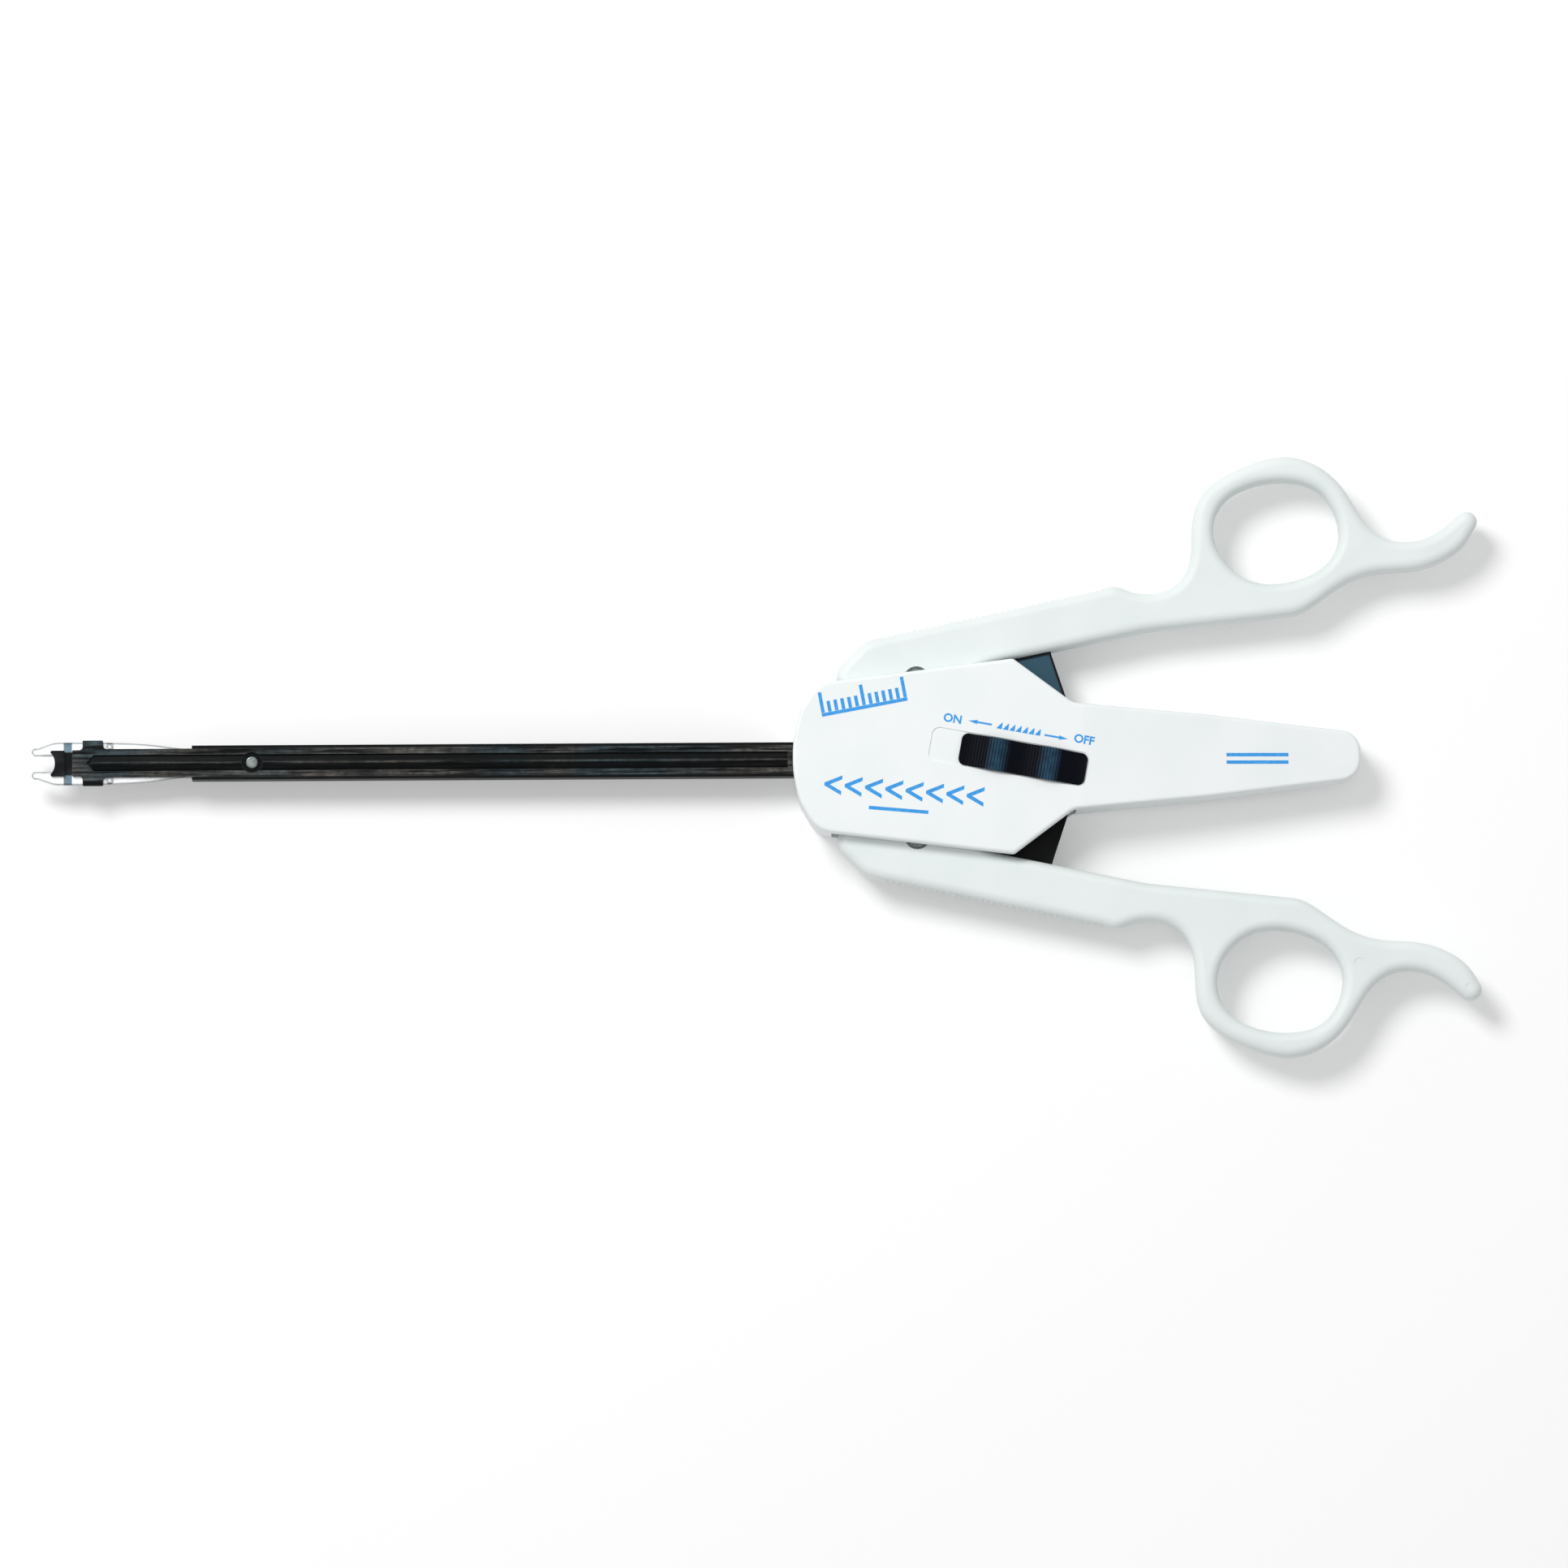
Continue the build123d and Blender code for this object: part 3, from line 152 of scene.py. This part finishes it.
def moulded_grain():
    """Group: the fine height of a spark-eroded mould, and a broad cloud of tone from the melt's flow."""
    group, given, out = shared_group(
        "moulded_grain", {"Grain Scale": GRAIN_PER_METRE, "Cloud Scale": CLOUD_PER_METRE}, ("Height", "Cloud")
    )
    place = group.nodes.new("ShaderNodeTexCoord").outputs["Object"]
    for scale, socket, detail in (("Grain Scale", "Height", 3), ("Cloud Scale", "Cloud", 2)):
        noise = group.nodes.new("ShaderNodeTexNoise")
        noise.inputs["Detail"].default_value = detail
        group.links.new(place, noise.inputs["Vector"])
        group.links.new(given.outputs[scale], noise.inputs["Scale"])
        group.links.new(noise.outputs[0], out.inputs[socket])
    return group


def edge_wear_and_shade():
    """Group: 1 along outer and inner edges, where the rounded normal leaves the true one, else 0."""
    group, given, out = shared_group("edge_wear_and_shade", {"Width": 0.0004, "Gain": 4.0}, ("Edge",))
    bevel = group.nodes.new("ShaderNodeBevel")
    bevel.samples = 4
    true_normal = group.nodes.new("ShaderNodeNewGeometry").outputs["Normal"]
    dot = group.nodes.new("ShaderNodeVectorMath")
    dot.operation = "DOT_PRODUCT"
    group.links.new(given.outputs["Width"], bevel.inputs["Radius"])
    group.links.new(bevel.outputs[0], dot.inputs[0])
    group.links.new(true_normal, dot.inputs[1])
    lack = combined(group, "SUBTRACT", 1.0, dot.outputs["Value"])
    edge = combined(group, "MULTIPLY", lack, given.outputs["Gain"], clamp=True)
    group.links.new(edge, out.inputs["Edge"])
    return group


GRAIN = moulded_grain()
EDGE_WEAR_AND_SHADE = edge_wear_and_shade()


def moulded_plastic(name, colour, shade, rough, polished, grain_height):
    """Moulded plastic: the colour with clouds of its shade, rough faces and polished edges."""
    material, tree, shader = plain_material(name, Specular_IOR_Level=0.4)
    grain = placed(tree, GRAIN)
    edge = placed(tree, EDGE_WEAR_AND_SHADE, Width=0.0008, Gain=5.0)["Edge"]
    cloud = ranged(tree, grain["Cloud"], 0.35, 0.65)
    tree.links.new(mixed(tree, cloud, colour, shade), shader.inputs["Base Color"])
    tree.links.new(ranged(tree, edge, 0, 1, rough, polished), shader.inputs["Roughness"])
    bumped(tree, shader, grain["Height"], grain_height, 0.35)
    return material


def dress(material, *names):
    """Gives the material to CAD nodes."""
    for name in names:
        mesh = nodes[name].data
        mesh.materials.clear()
        mesh.materials.append(material)


GRAIN_HEIGHT = 0.00002
cover_plastic = moulded_plastic(
    "cover_plastic", COVER_COLOUR, COVER_SHADE, rough=0.46, polished=0.36, grain_height=GRAIN_HEIGHT
)
dress(cover_plastic, "top_cover", "bottom_cover")


# Print: blue pad-printed marks on the top cover, one thin film of ink.
# ON, OFF and their arrows stand beside the slide; the other places carry generic marks only.

INK_THICKNESS = 0.00002
INK_BLUE = (0.022, 0.31, 0.78, 1)
INK_THIN = (0.07, 0.40, 0.82, 1)
INK_PATCHES_PER_METRE = 1400
LINE_WIDTH = 0.0007

ink, tree, shader = plain_material("print_blue", Specular_IOR_Level=0.4, Roughness=0.42)
place = tree.nodes.new("ShaderNodeTexCoord").outputs["Object"]
patchy = ranged(tree, noise_of(tree, place, INK_PATCHES_PER_METRE, 3, 0.6), 0.45, 0.75)
tree.links.new(mixed(tree, patchy, INK_BLUE, INK_THIN), shader.inputs["Base Color"])
tree.links.new(ranged(tree, patchy, 0, 1, 0.38, 0.55), shader.inputs["Roughness"])


cover_skin = BVHTree.FromObject(nodes["top_cover"], bpy.context.evaluated_depsgraph_get())


def skin_height(flat):
    """The height of the top cover's outer face over each of the points x, y."""
    above = cad_high[2] + 0.01
    return np.array([cover_skin.ray_cast((x, y, above), (0, 0, -1))[0].z for x, y in flat])


def printed(name, outlines):
    """Ink film: each outline (points x, y in metres, anticlockwise) is a prism as thick as the film."""
    points, faces = [], []
    for outline in outlines:
        flat = np.asarray(outline, float)
        first, count = len(points), len(flat)
        skin = skin_height(flat)
        for height in (skin, skin + INK_THICKNESS):
            points += np.column_stack([flat, height]).tolist()
        faces.append(list(range(first + count, first + 2 * count)))
        faces.append(list(range(first + count - 1, first - 1, -1)))
        for a in range(count):
            b = (a + 1) % count
            faces.append([first + a, first + b, first + count + b, first + count + a])
    mesh = bpy.data.meshes.new(name)
    mesh.from_pydata(points, [], faces)
    mesh.materials.append(ink)
    piece = bpy.data.objects.new(name, mesh)
    bpy.context.scene.collection.objects.link(piece)
    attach(piece, "body")
    return piece


def laid(shape, centre, angle):
    """The shape's points turned by the angle and moved to the centre."""
    turn = np.array([[math.cos(angle), math.sin(angle)], [-math.sin(angle), math.cos(angle)]])
    return np.asarray(shape, float) @ turn + np.asarray(centre, float)


def bar(length, width):
    """A plain bar, centred."""
    return [(x * length / 2, y * width / 2) for x, y in ((-1, -1), (1, -1), (1, 1), (-1, 1))]


def mirrored(start, half):
    """An outline that is the same on both sides of its X axis: a point on the axis, and one half."""
    return [start, *half, *((x, -y) for x, y in reversed(half))]


def lettering(name, words, size, centre, angle):
    """Printed words: the built-in typeface as a thin mesh, turned and laid on the cover."""
    curve = bpy.data.curves.new(name, "FONT")
    curve.body = words
    curve.size = size
    curve.align_x, curve.align_y = "CENTER", "CENTER"
    curve.extrude = INK_THICKNESS / 2
    curve.offset = size * 0.03
    curve.resolution_u = 4
    source = bpy.data.objects.new(name + "_curve", curve)
    mesh = bpy.data.meshes.new_from_object(source)
    bpy.data.objects.remove(source)
    co = np.zeros(len(mesh.vertices) * 3)
    mesh.vertices.foreach_get("co", co)
    co = co.reshape(-1, 3)
    co[:, :2] = laid(co[:, :2], centre, angle)
    co[:, 2] += skin_height(co[:, :2]) + INK_THICKNESS / 2
    mesh.vertices.foreach_set("co", co.ravel())
    mesh.materials.clear()
    mesh.materials.append(ink)
    piece = bpy.data.objects.new(name, mesh)
    bpy.context.scene.collection.objects.link(piece)
    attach(piece, "body")
    return piece


SLIDE_ANGLE = math.radians(-10.3)
LETTER_SIZE = 0.00235
lettering("print_on", "ON", LETTER_SIZE, (0.0072, 0.0075), SLIDE_ANGLE)
lettering("print_off", "OFF", LETTER_SIZE, (0.0336, 0.0031), SLIDE_ANGLE)

ARROW_LENGTH = 0.0048
ARROW_HEAD = 0.0019
ARROW_HEAD_HALF = 0.00045
ARROW_SHAFT_HALF = 0.00019
ARROW_BARB = 0.0001
arrow = mirrored(
    (0, 0),
    [
        (ARROW_HEAD, -ARROW_HEAD_HALF),
        (ARROW_HEAD - ARROW_BARB, -ARROW_SHAFT_HALF),
        (ARROW_LENGTH, -ARROW_SHAFT_HALF),
    ],
)
printed("print_arrow_on", [laid(arrow, (0.01035, 0.00715), SLIDE_ANGLE)])
printed("print_arrow_off", [laid(arrow, (0.03035, 0.0033), SLIDE_ANGLE + math.pi)])

# Ratchet teeth between the arrows
TEETH = 7
TOOTH_PITCH = 0.0013
TEETH_START = (-0.0045, -0.0006)
TEETH_CENTRE = (0.0205, 0.00535)
tooth = np.array([(0, 0), (0.0011, 0), (0.0011, 0.0013), (0.00095, 0.0013), (0.0001, 0.00018)])
first_tooth = tooth + TEETH_START
teeth = [laid(first_tooth + (TOOTH_PITCH * i, 0), TEETH_CENTRE, SLIDE_ANGLE) for i in range(TEETH)]
printed("print_ratchet_teeth", teeth)

# A graduation: a base line with a long tick at each end and short ones between
TICKS = 13
TICK_PITCH = 0.0014
LONG_TICK = 0.0042
SHORT_TICK = 0.0022
TICK_LIFT = 0.0004
GRADUATION_LENGTH = 0.0175
GRADUATION_CENTRE = (-0.0105, 0.0100)
GRADUATION_SLOPE = math.radians(10.5)
middle = TICKS // 2
graduation = [laid(bar(GRADUATION_LENGTH, LINE_WIDTH), GRADUATION_CENTRE, GRADUATION_SLOPE)]
for i in range(TICKS):
    tall = LONG_TICK if i % middle == 0 else SHORT_TICK
    tick = np.array(bar(LINE_WIDTH, tall)) + (TICK_PITCH * (i - middle), tall / 2 + TICK_LIFT)
    graduation.append(laid(tick, GRADUATION_CENTRE, GRADUATION_SLOPE))
printed("print_graduation", graduation)

# A row of open clips, each a plain V, over a line
CLIPS = 8
CLIP_PITCH = 0.0041
CLIP_ROW_CENTRE = (-0.0035, -0.0068)
CLIP_LINE_LENGTH = 0.012
CLIP_LINE_CENTRE = (-0.0038, -0.0108)
CLIP_ROW_SLOPE = math.radians(-5)
clip = np.array(mirrored((0.0002, 0), [(0.0026, 0.0012), (0.0026, 0.0020), (-0.0009, 0.0003)]))
clip_row = []
for i in range(CLIPS):
    offset = CLIP_PITCH * (i - (CLIPS - 1) / 2)
    clip_row.append(laid(clip + (offset, 0), CLIP_ROW_CENTRE, CLIP_ROW_SLOPE))
clip_row.append(laid(bar(CLIP_LINE_LENGTH, LINE_WIDTH), CLIP_LINE_CENTRE, CLIP_ROW_SLOPE))
printed("print_clip_row", clip_row)

# Two plain bars near the tail
TAIL_BAR_LENGTH = 0.0125
TAIL_BAR_PLACES = ((0.0685, 0.0001), (0.0685, -0.0014))
printed("print_tail_bars", [laid(bar(TAIL_BAR_LENGTH, LINE_WIDTH), place, 0) for place in TAIL_BAR_PLACES])


# Handles: moulded like the covers, in a slightly greyer run of the same plastic.
# Each turns on its steel pin between the covers.

HANDLE_COLOUR = (0.82, 0.875, 0.865, 1)
HANDLE_SHADE = (0.79, 0.85, 0.84, 1)
handle_plastic = moulded_plastic(
    "handle_plastic", HANDLE_COLOUR, HANDLE_SHADE, rough=0.5, polished=0.38, grain_height=GRAIN_HEIGHT
)
dress(handle_plastic, "upper_handle", "lower_handle")


# Drive levers: stamped steel plates keyed into the handles, both of the same steel. The upper one's face
# carries a blue-grey painted reflection, the lower one is a darkened copy painted as shade, and their raised
# rims are painted black as shade.

LEVER_PAINTED_REFLECTION = (0.035, 0.088, 0.125, 1)
LEVER_PAINTED_SHADE = (0.0012, 0.0016, 0.0020, 1)
LEVER_RIM_PAINTED_SHADE = (0.003, 0.004, 0.005, 1)
PANEL_DEPTH = 0.00025


def coordinate(tree, axis):
    """The coordinate X, Y or Z of each point of the piece, in metres."""
    split = tree.nodes.new("ShaderNodeSeparateXYZ")
    tree.links.new(tree.nodes.new("ShaderNodeTexCoord").outputs["Object"], split.inputs[0])
    return split.outputs[axis]


# Painted light: both levers are the same steel; the upper one's face colour is a painted blue-grey
# reflection, the lower one's a darkened copy painted as shade.
for name, painted_light_colour in (("upper_drive_lever", LEVER_PAINTED_REFLECTION), ("lower_drive_lever", LEVER_PAINTED_SHADE)):
    lever_steel, tree, shader = plain_material(name + "_steel", Specular_IOR_Level=0.12)
    grain = placed(tree, GRAIN, Grain_Scale=4000)
    rim_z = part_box(name)[1].z
    # Painted shade: the top of the raised rim turns black, and the recessed panel keeps the face colour.
    rim_painted_shade = ranged(tree, coordinate(tree, "Z"), rim_z - 0.8 * PANEL_DEPTH, rim_z - 0.2 * PANEL_DEPTH)
    tree.links.new(mixed(tree, rim_painted_shade, painted_light_colour, LEVER_RIM_PAINTED_SHADE), shader.inputs["Base Color"])
    tree.links.new(ranged(tree, grain["Cloud"], 0.3, 0.7, 0.35, 0.5), shader.inputs["Roughness"])
    bumped(tree, shader, grain["Height"], 0.00001, 0.3)
    dress(lever_steel, name)


# Shaft: drawn and stamped steel with a black oxide finish; its raised rails carry a brownish-grey
# painted highlight, broken up by rubbing streaks. The channel slides over the jaw arms; the spine is fixed in
# the covers.

OXIDE_BLACK = (0.0008, 0.0014, 0.0016, 1)
OXIDE_RUBBED_AND_HIGHLIGHT = (0.145, 0.138, 0.125, 1)
OXIDE_TEMPER = (0.075, 0.105, 0.12, 1)
TEMPER_PER_METRE = 45
BLOTCHES_PER_METRE = 420


def oxide_streaks():
    """Group: rubbing marks drawn out along X, broken up by a finer blotch."""
    group, given, out = shared_group("oxide_streaks", {"Length": 70.0, "Width": 1800.0}, ("Streak", "Height"))
    place = group.nodes.new("ShaderNodeTexCoord").outputs["Object"]
    stretch = group.nodes.new("ShaderNodeCombineXYZ")
    group.links.new(given.outputs["Length"], stretch.inputs[0])
    group.links.new(given.outputs["Width"], stretch.inputs[1])
    group.links.new(given.outputs["Width"], stretch.inputs[2])
    scaled = group.nodes.new("ShaderNodeVectorMath")
    scaled.operation = "MULTIPLY"
    group.links.new(place, scaled.inputs[0])
    group.links.new(stretch.outputs[0], scaled.inputs[1])
    long_marks = noise_of(group, scaled.outputs[0], 1, 3, 0.6)
    blotches = noise_of(group, place, BLOTCHES_PER_METRE, 4, 0.65)
    drawn = ranged(group, long_marks, 0.38, 0.66)
    broken = ranged(group, blotches, 0.3, 0.65, 0.25, 1)
    group.links.new(combined(group, "MULTIPLY", drawn, broken), out.inputs["Streak"])
    group.links.new(long_marks, out.inputs["Height"])
    return group


STREAKS = oxide_streaks()


def oxide_steel(name, low, high, base=0.06):
    """Black oxide steel: a painted highlight lightens it from the height low to the height high, in rubbing
    streaks, and it is rubbed brighter at its edges.
    """
    material, tree, shader = plain_material(name, Specular_IOR_Level=0.06)
    streaks = placed(tree, STREAKS)
    edge = placed(tree, EDGE_WEAR_AND_SHADE, Width=0.00025, Gain=5.0)["Edge"]
    # Painted highlight: the colour lightens above the height low, fully at the height high, standing in for
    # light the raised rails reflect; streaks break it up and edge wear adds to it.
    raised_highlight = ranged(tree, coordinate(tree, "Z"), low, high, base, 1)
    lighter_share = combined(tree, "MULTIPLY_ADD", raised_highlight, streaks["Streak"], ranged(tree, edge, 0, 1, 0, 0.25))
    place = tree.nodes.new("ShaderNodeTexCoord").outputs["Object"]
    temper = ranged(tree, noise_of(tree, place, TEMPER_PER_METRE, 1), 0.42, 0.6)
    highlight_and_rubbed_colour = mixed(tree, temper, OXIDE_RUBBED_AND_HIGHLIGHT, OXIDE_TEMPER)
    tree.links.new(mixed(tree, lighter_share, OXIDE_BLACK, highlight_and_rubbed_colour), shader.inputs["Base Color"])
    tree.links.new(ranged(tree, streaks["Streak"], 0, 1, 0.42, 0.3), shader.inputs["Roughness"])
    bumped(tree, shader, streaks["Height"], 0.00003, 0.4)
    return material


# The rails' tops carry the painted highlight. The channel lies lower than its own range, so it gets
# only a faint share of it, and mainly its edges are rubbed.
RAIL_TOP_Z = 0.0096
dress(oxide_steel("spine_oxide", RAIL_TOP_Z - 0.0001, RAIL_TOP_Z), "cartridge_spine")
dress(oxide_steel("channel_oxide", 0.0100, 0.0200), "crimping_channel")


# Nose, tray, follower, drive block and pawl: black glass-filled nylon, injection moulded.
# The nose and the tray are fixed under the spine. The follower and the drive block slide, and
# the pawl turns on its pin.

NYLON_BLACK = (0.0015, 0.0025, 0.003, 1)
NYLON_GREY = (0.020, 0.026, 0.028, 1)
nylon, tree, shader = plain_material("black_nylon", Specular_IOR_Level=0.08)
grain = placed(tree, GRAIN, Grain_Scale=3200, Cloud_Scale=300)
edge = placed(tree, EDGE_WEAR_AND_SHADE, Width=0.0003, Gain=5.0)["Edge"]
patchy = ranged(tree, grain["Cloud"], 0.45, 0.8)
tree.links.new(mixed(tree, patchy, NYLON_BLACK, NYLON_GREY), shader.inputs["Base Color"])
tree.links.new(ranged(tree, edge, 0, 1, 0.45, 0.32), shader.inputs["Roughness"])
bumped(tree, shader, grain["Height"], 0.00002, 0.5)
dress(nylon, "clip_guide_nose", "cartridge_tray", "clip_follower", "drive_block", "ratchet_pawl")


# Jaws, rivet and pins: ground stainless steel, bright, with fine marks along the arms and painted shade along
# their edges.
# The jaws are half-lapped strips on the domed rivet, and a blue-grey band of painted reflection
# crosses each of them about 7 mm behind the tip.

STEEL_BRIGHT = (0.86, 0.87, 0.87, 1)
STEEL_DULL = (0.66, 0.70, 0.72, 1)
STEEL_PIN = (0.50, 0.52, 0.52, 1)
STEEL_EDGE_SHADE_AND_DARK_BLOTCH = (0.025, 0.035, 0.04, 1)
STEEL_RIVET = (0.27, 0.30, 0.29, 1)
STEEL_PAINTED_REFLECTION = (0.13, 0.185, 0.225, 1)
PAINTED_BAND_SOFT = 0.0002


def ground_steel(name, bright, dull, length, width, smooth, rough, edge_width=0.0001, gain=6.0, painted_band=None):
    """Ground steel: bright metal with fine drawn marks that vary its roughness, and painted shade that
    darkens it along its edges.

    A painted band is a blue-grey band of painted reflection across the piece: (its lowest X, its highest X,
    its colour).
    """
    material, tree, shader = plain_material(name, Metallic=1.0)
    streaks = placed(tree, STREAKS, Length=length, Width=width)
    edge = placed(tree, EDGE_WEAR_AND_SHADE, Width=edge_width, Gain=gain)["Edge"]
    marked = mixed(tree, streaks["Streak"], bright, dull)
    if painted_band:
        low, high, tint = painted_band
        # Painted reflection: a blue-grey band across the piece between the two X values, with soft ends.
        along = coordinate(tree, "X")
        begun = ranged(tree, along, low - PAINTED_BAND_SOFT, low)
        not_over = ranged(tree, along, high, high + PAINTED_BAND_SOFT, 1, 0)
        marked = mixed(tree, combined(tree, "MULTIPLY", begun, not_over), marked, tint)
    # Painted shade: the colour turns dark along the edges.
    tree.links.new(mixed(tree, edge, marked, STEEL_EDGE_SHADE_AND_DARK_BLOTCH), shader.inputs["Base Color"])
    tree.links.new(ranged(tree, streaks["Height"], 0.3, 0.7, smooth, rough), shader.inputs["Roughness"])
    bumped(tree, shader, streaks["Height"], 0.00001, 0.25)
    return material


# The X range and colour of the jaws' band of painted reflection.
painted_band = (-0.1719, -0.1704, STEEL_PAINTED_REFLECTION)
jaw_marks = {"length": 200, "width": 3000, "smooth": 0.18, "rough": 0.34}
# The jaws' strong dark outline is painted shade.
jaw_edges = {"edge_width": 0.0007, "gain": 22.0}
jaw_steel = ground_steel("jaw_steel", STEEL_BRIGHT, STEEL_DULL, **jaw_marks, **jaw_edges, painted_band=painted_band)
dress(jaw_steel, "upper_jaw", "lower_jaw")
rivet_marks = {"length": 1100, "width": 1100, "smooth": 0.2, "rough": 0.4}
# The rivet's dark ring along its edge is painted shade; its darker blotches are its own tone.
rivet_edges = {"edge_width": 0.0008, "gain": 8.0}
rivet_steel = ground_steel("rivet_steel", STEEL_RIVET, STEEL_EDGE_SHADE_AND_DARK_BLOTCH, **rivet_marks, **rivet_edges)
dress(rivet_steel, "jaw_rivet", "upper_pivot_pin", "lower_pivot_pin")
pin_steel = ground_steel("pin_steel", STEEL_PIN, STEEL_DULL, length=1500, width=1500, smooth=0.22, rough=0.4)
dress(pin_steel, "drive_pin", "pawl_pin", "return_spring_collar")


# Springs and feed bar: hard-drawn spring steel, grey, with drawing lines.
# The springs are coiled or bent cold, and the bar is a flat strip that rides on the drive.

WIRE_LIGHT = (0.50, 0.50, 0.51, 1)
WIRE_DARK = (0.30, 0.30, 0.31, 1)
wire_marks = {"length": 500, "width": 2500, "smooth": 0.25, "rough": 0.45}
wire_steel = ground_steel("wire_steel", WIRE_LIGHT, WIRE_DARK, **wire_marks)
dress(wire_steel, "return_spring", "follower_spring", "switch_detent_spring", "feed_bar")


# Clips: pure titanium wire, bent to open Vs and blasted to a blue-grey.
# They lie loose, one behind the other, in the tray.

TITANIUM_LIGHT = (0.46, 0.50, 0.56, 1)
TITANIUM_DARK = (0.34, 0.38, 0.44, 1)
titanium_marks = {"length": 2000, "width": 2000, "smooth": 0.4, "rough": 0.6}
titanium = ground_steel("clip_titanium", TITANIUM_LIGHT, TITANIUM_DARK, **titanium_marks)
dress(titanium, "clip_stack")


# Ratchet slide: blue-black moulded button with two humps and fine cross ribs for the thumb.
# It slides in the slanted slot of the top cover, and its crests carry a lighter blue painted highlight.

SLIDE_BLACK = (0.0006, 0.0014, 0.0045, 1)
SLIDE_PAINTED_HIGHLIGHT = (0.028, 0.080, 0.135, 1)
SLIDE_FLAT_Z = 0.01585
SLIDE_CREST_Z = 0.0163
slide_plastic, tree, shader = plain_material("slide_plastic", Specular_IOR_Level=0.06)
grain = placed(tree, GRAIN, Grain_Scale=3000, Cloud_Scale=700)
# Painted highlight: the colour turns a lighter blue from the flat height up to the crest height, broken up by
# the cloud.
crest = ranged(tree, coordinate(tree, "Z"), SLIDE_FLAT_Z, SLIDE_CREST_Z)
lighter_share = combined(tree, "MULTIPLY", crest, ranged(tree, grain["Cloud"], 0.3, 0.6, 0.6, 1))
tree.links.new(mixed(tree, lighter_share, SLIDE_BLACK, SLIDE_PAINTED_HIGHLIGHT), shader.inputs["Base Color"])
tree.links.new(ranged(tree, crest, 0, 1, 0.45, 0.28), shader.inputs["Roughness"])
bumped(tree, shader, grain["Height"], 0.00001, 0.35)
dress(slide_plastic, "ratchet_switch")


# Stage: a white floor that keeps the object's shadow, one broad lamp from the upper left and
# an even white surround, seen from straight above with a long lens.

VIEW_CENTRE = (-0.0268, -0.0048, 0.0075)
VIEW_WIDTH = 0.31615
VIEW_DISTANCE = 2.5
VIEW_TILT = math.radians(5)
VIEW_TURN = math.radians(-0.32)
LAMP_PLACE = (-0.45, 0.50, 1.0)
LAMP_WIDTH = 0.45
LAMP_POWER = 8.2
SURROUND_LIGHT = 0.52
FLOOR_HALF = 4.0
FLOOR_WHITE = (0.85, 0.85, 0.85, 1)
FLOOR_GLOW = 0.2


def seen_rays(tree):
    """1 for rays from the camera, mirror rays and rays through glass, else 0."""
    path = tree.nodes.new("ShaderNodeLightPath")
    seen = path.outputs["Is Camera Ray"]
    for other in ("Is Glossy Ray", "Is Transmission Ray"):
        seen = combined(tree, "MAXIMUM", seen, path.outputs[other])
    return seen


floor_mesh = bpy.data.meshes.new("floor")
corners = [(x, y, 0) for x, y in bar(2 * FLOOR_HALF, 2 * FLOOR_HALF)]
floor_mesh.from_pydata(corners, [], [(0, 1, 2, 3)])
floor = bpy.data.objects.new("floor", floor_mesh)
bpy.context.scene.collection.objects.link(floor)
floor_paper, tree, shader = plain_material(
    "floor_paper", Base_Color=FLOOR_WHITE, Roughness=1.0, Specular_IOR_Level=0.0, Emission_Color=(1, 1, 1, 1)
)
tree.links.new(ranged(tree, seen_rays(tree), 0, 1, 0, FLOOR_GLOW), shader.inputs["Emission Strength"])
floor_mesh.materials.append(floor_paper)

world = bpy.data.worlds.new("surround")
world.use_nodes = True
background = world.node_tree.nodes["Background"]
background.inputs["Color"].default_value = (1, 1, 1, 1)
light = ranged(world.node_tree, seen_rays(world.node_tree), 0, 1, SURROUND_LIGHT, 1)
world.node_tree.links.new(light, background.inputs["Strength"])
bpy.context.scene.world = world

lamp = bpy.data.lights.new("window", "AREA")
lamp.shape = "DISK"
lamp.size = LAMP_WIDTH
lamp.energy = LAMP_POWER
lamp_object = bpy.data.objects.new("window", lamp)
lamp_object.location = LAMP_PLACE
towards = -np.array(LAMP_PLACE)
lamp_object.rotation_euler = (
    math.acos(-towards[2] / np.linalg.norm(towards)),
    0,
    math.atan2(LAMP_PLACE[0], -LAMP_PLACE[1]),
)
bpy.context.scene.collection.objects.link(lamp_object)

camera = bpy.data.cameras.new("camera")
camera.sensor_width = 36
camera.lens = camera.sensor_width * VIEW_DISTANCE / VIEW_WIDTH
camera.clip_end = 20
camera_object = bpy.data.objects.new("camera", camera)
camera_object.rotation_euler = (VIEW_TILT, 0, VIEW_TURN)
aside = math.sin(VIEW_TILT)
back = np.array([aside * math.sin(VIEW_TURN), -aside * math.cos(VIEW_TURN), math.cos(VIEW_TILT)])
camera_object.location = np.array(VIEW_CENTRE) + VIEW_DISTANCE * back
bpy.context.scene.collection.objects.link(camera_object)
bpy.context.scene.camera = camera_object
bpy.context.scene.view_settings.view_transform = "Standard"
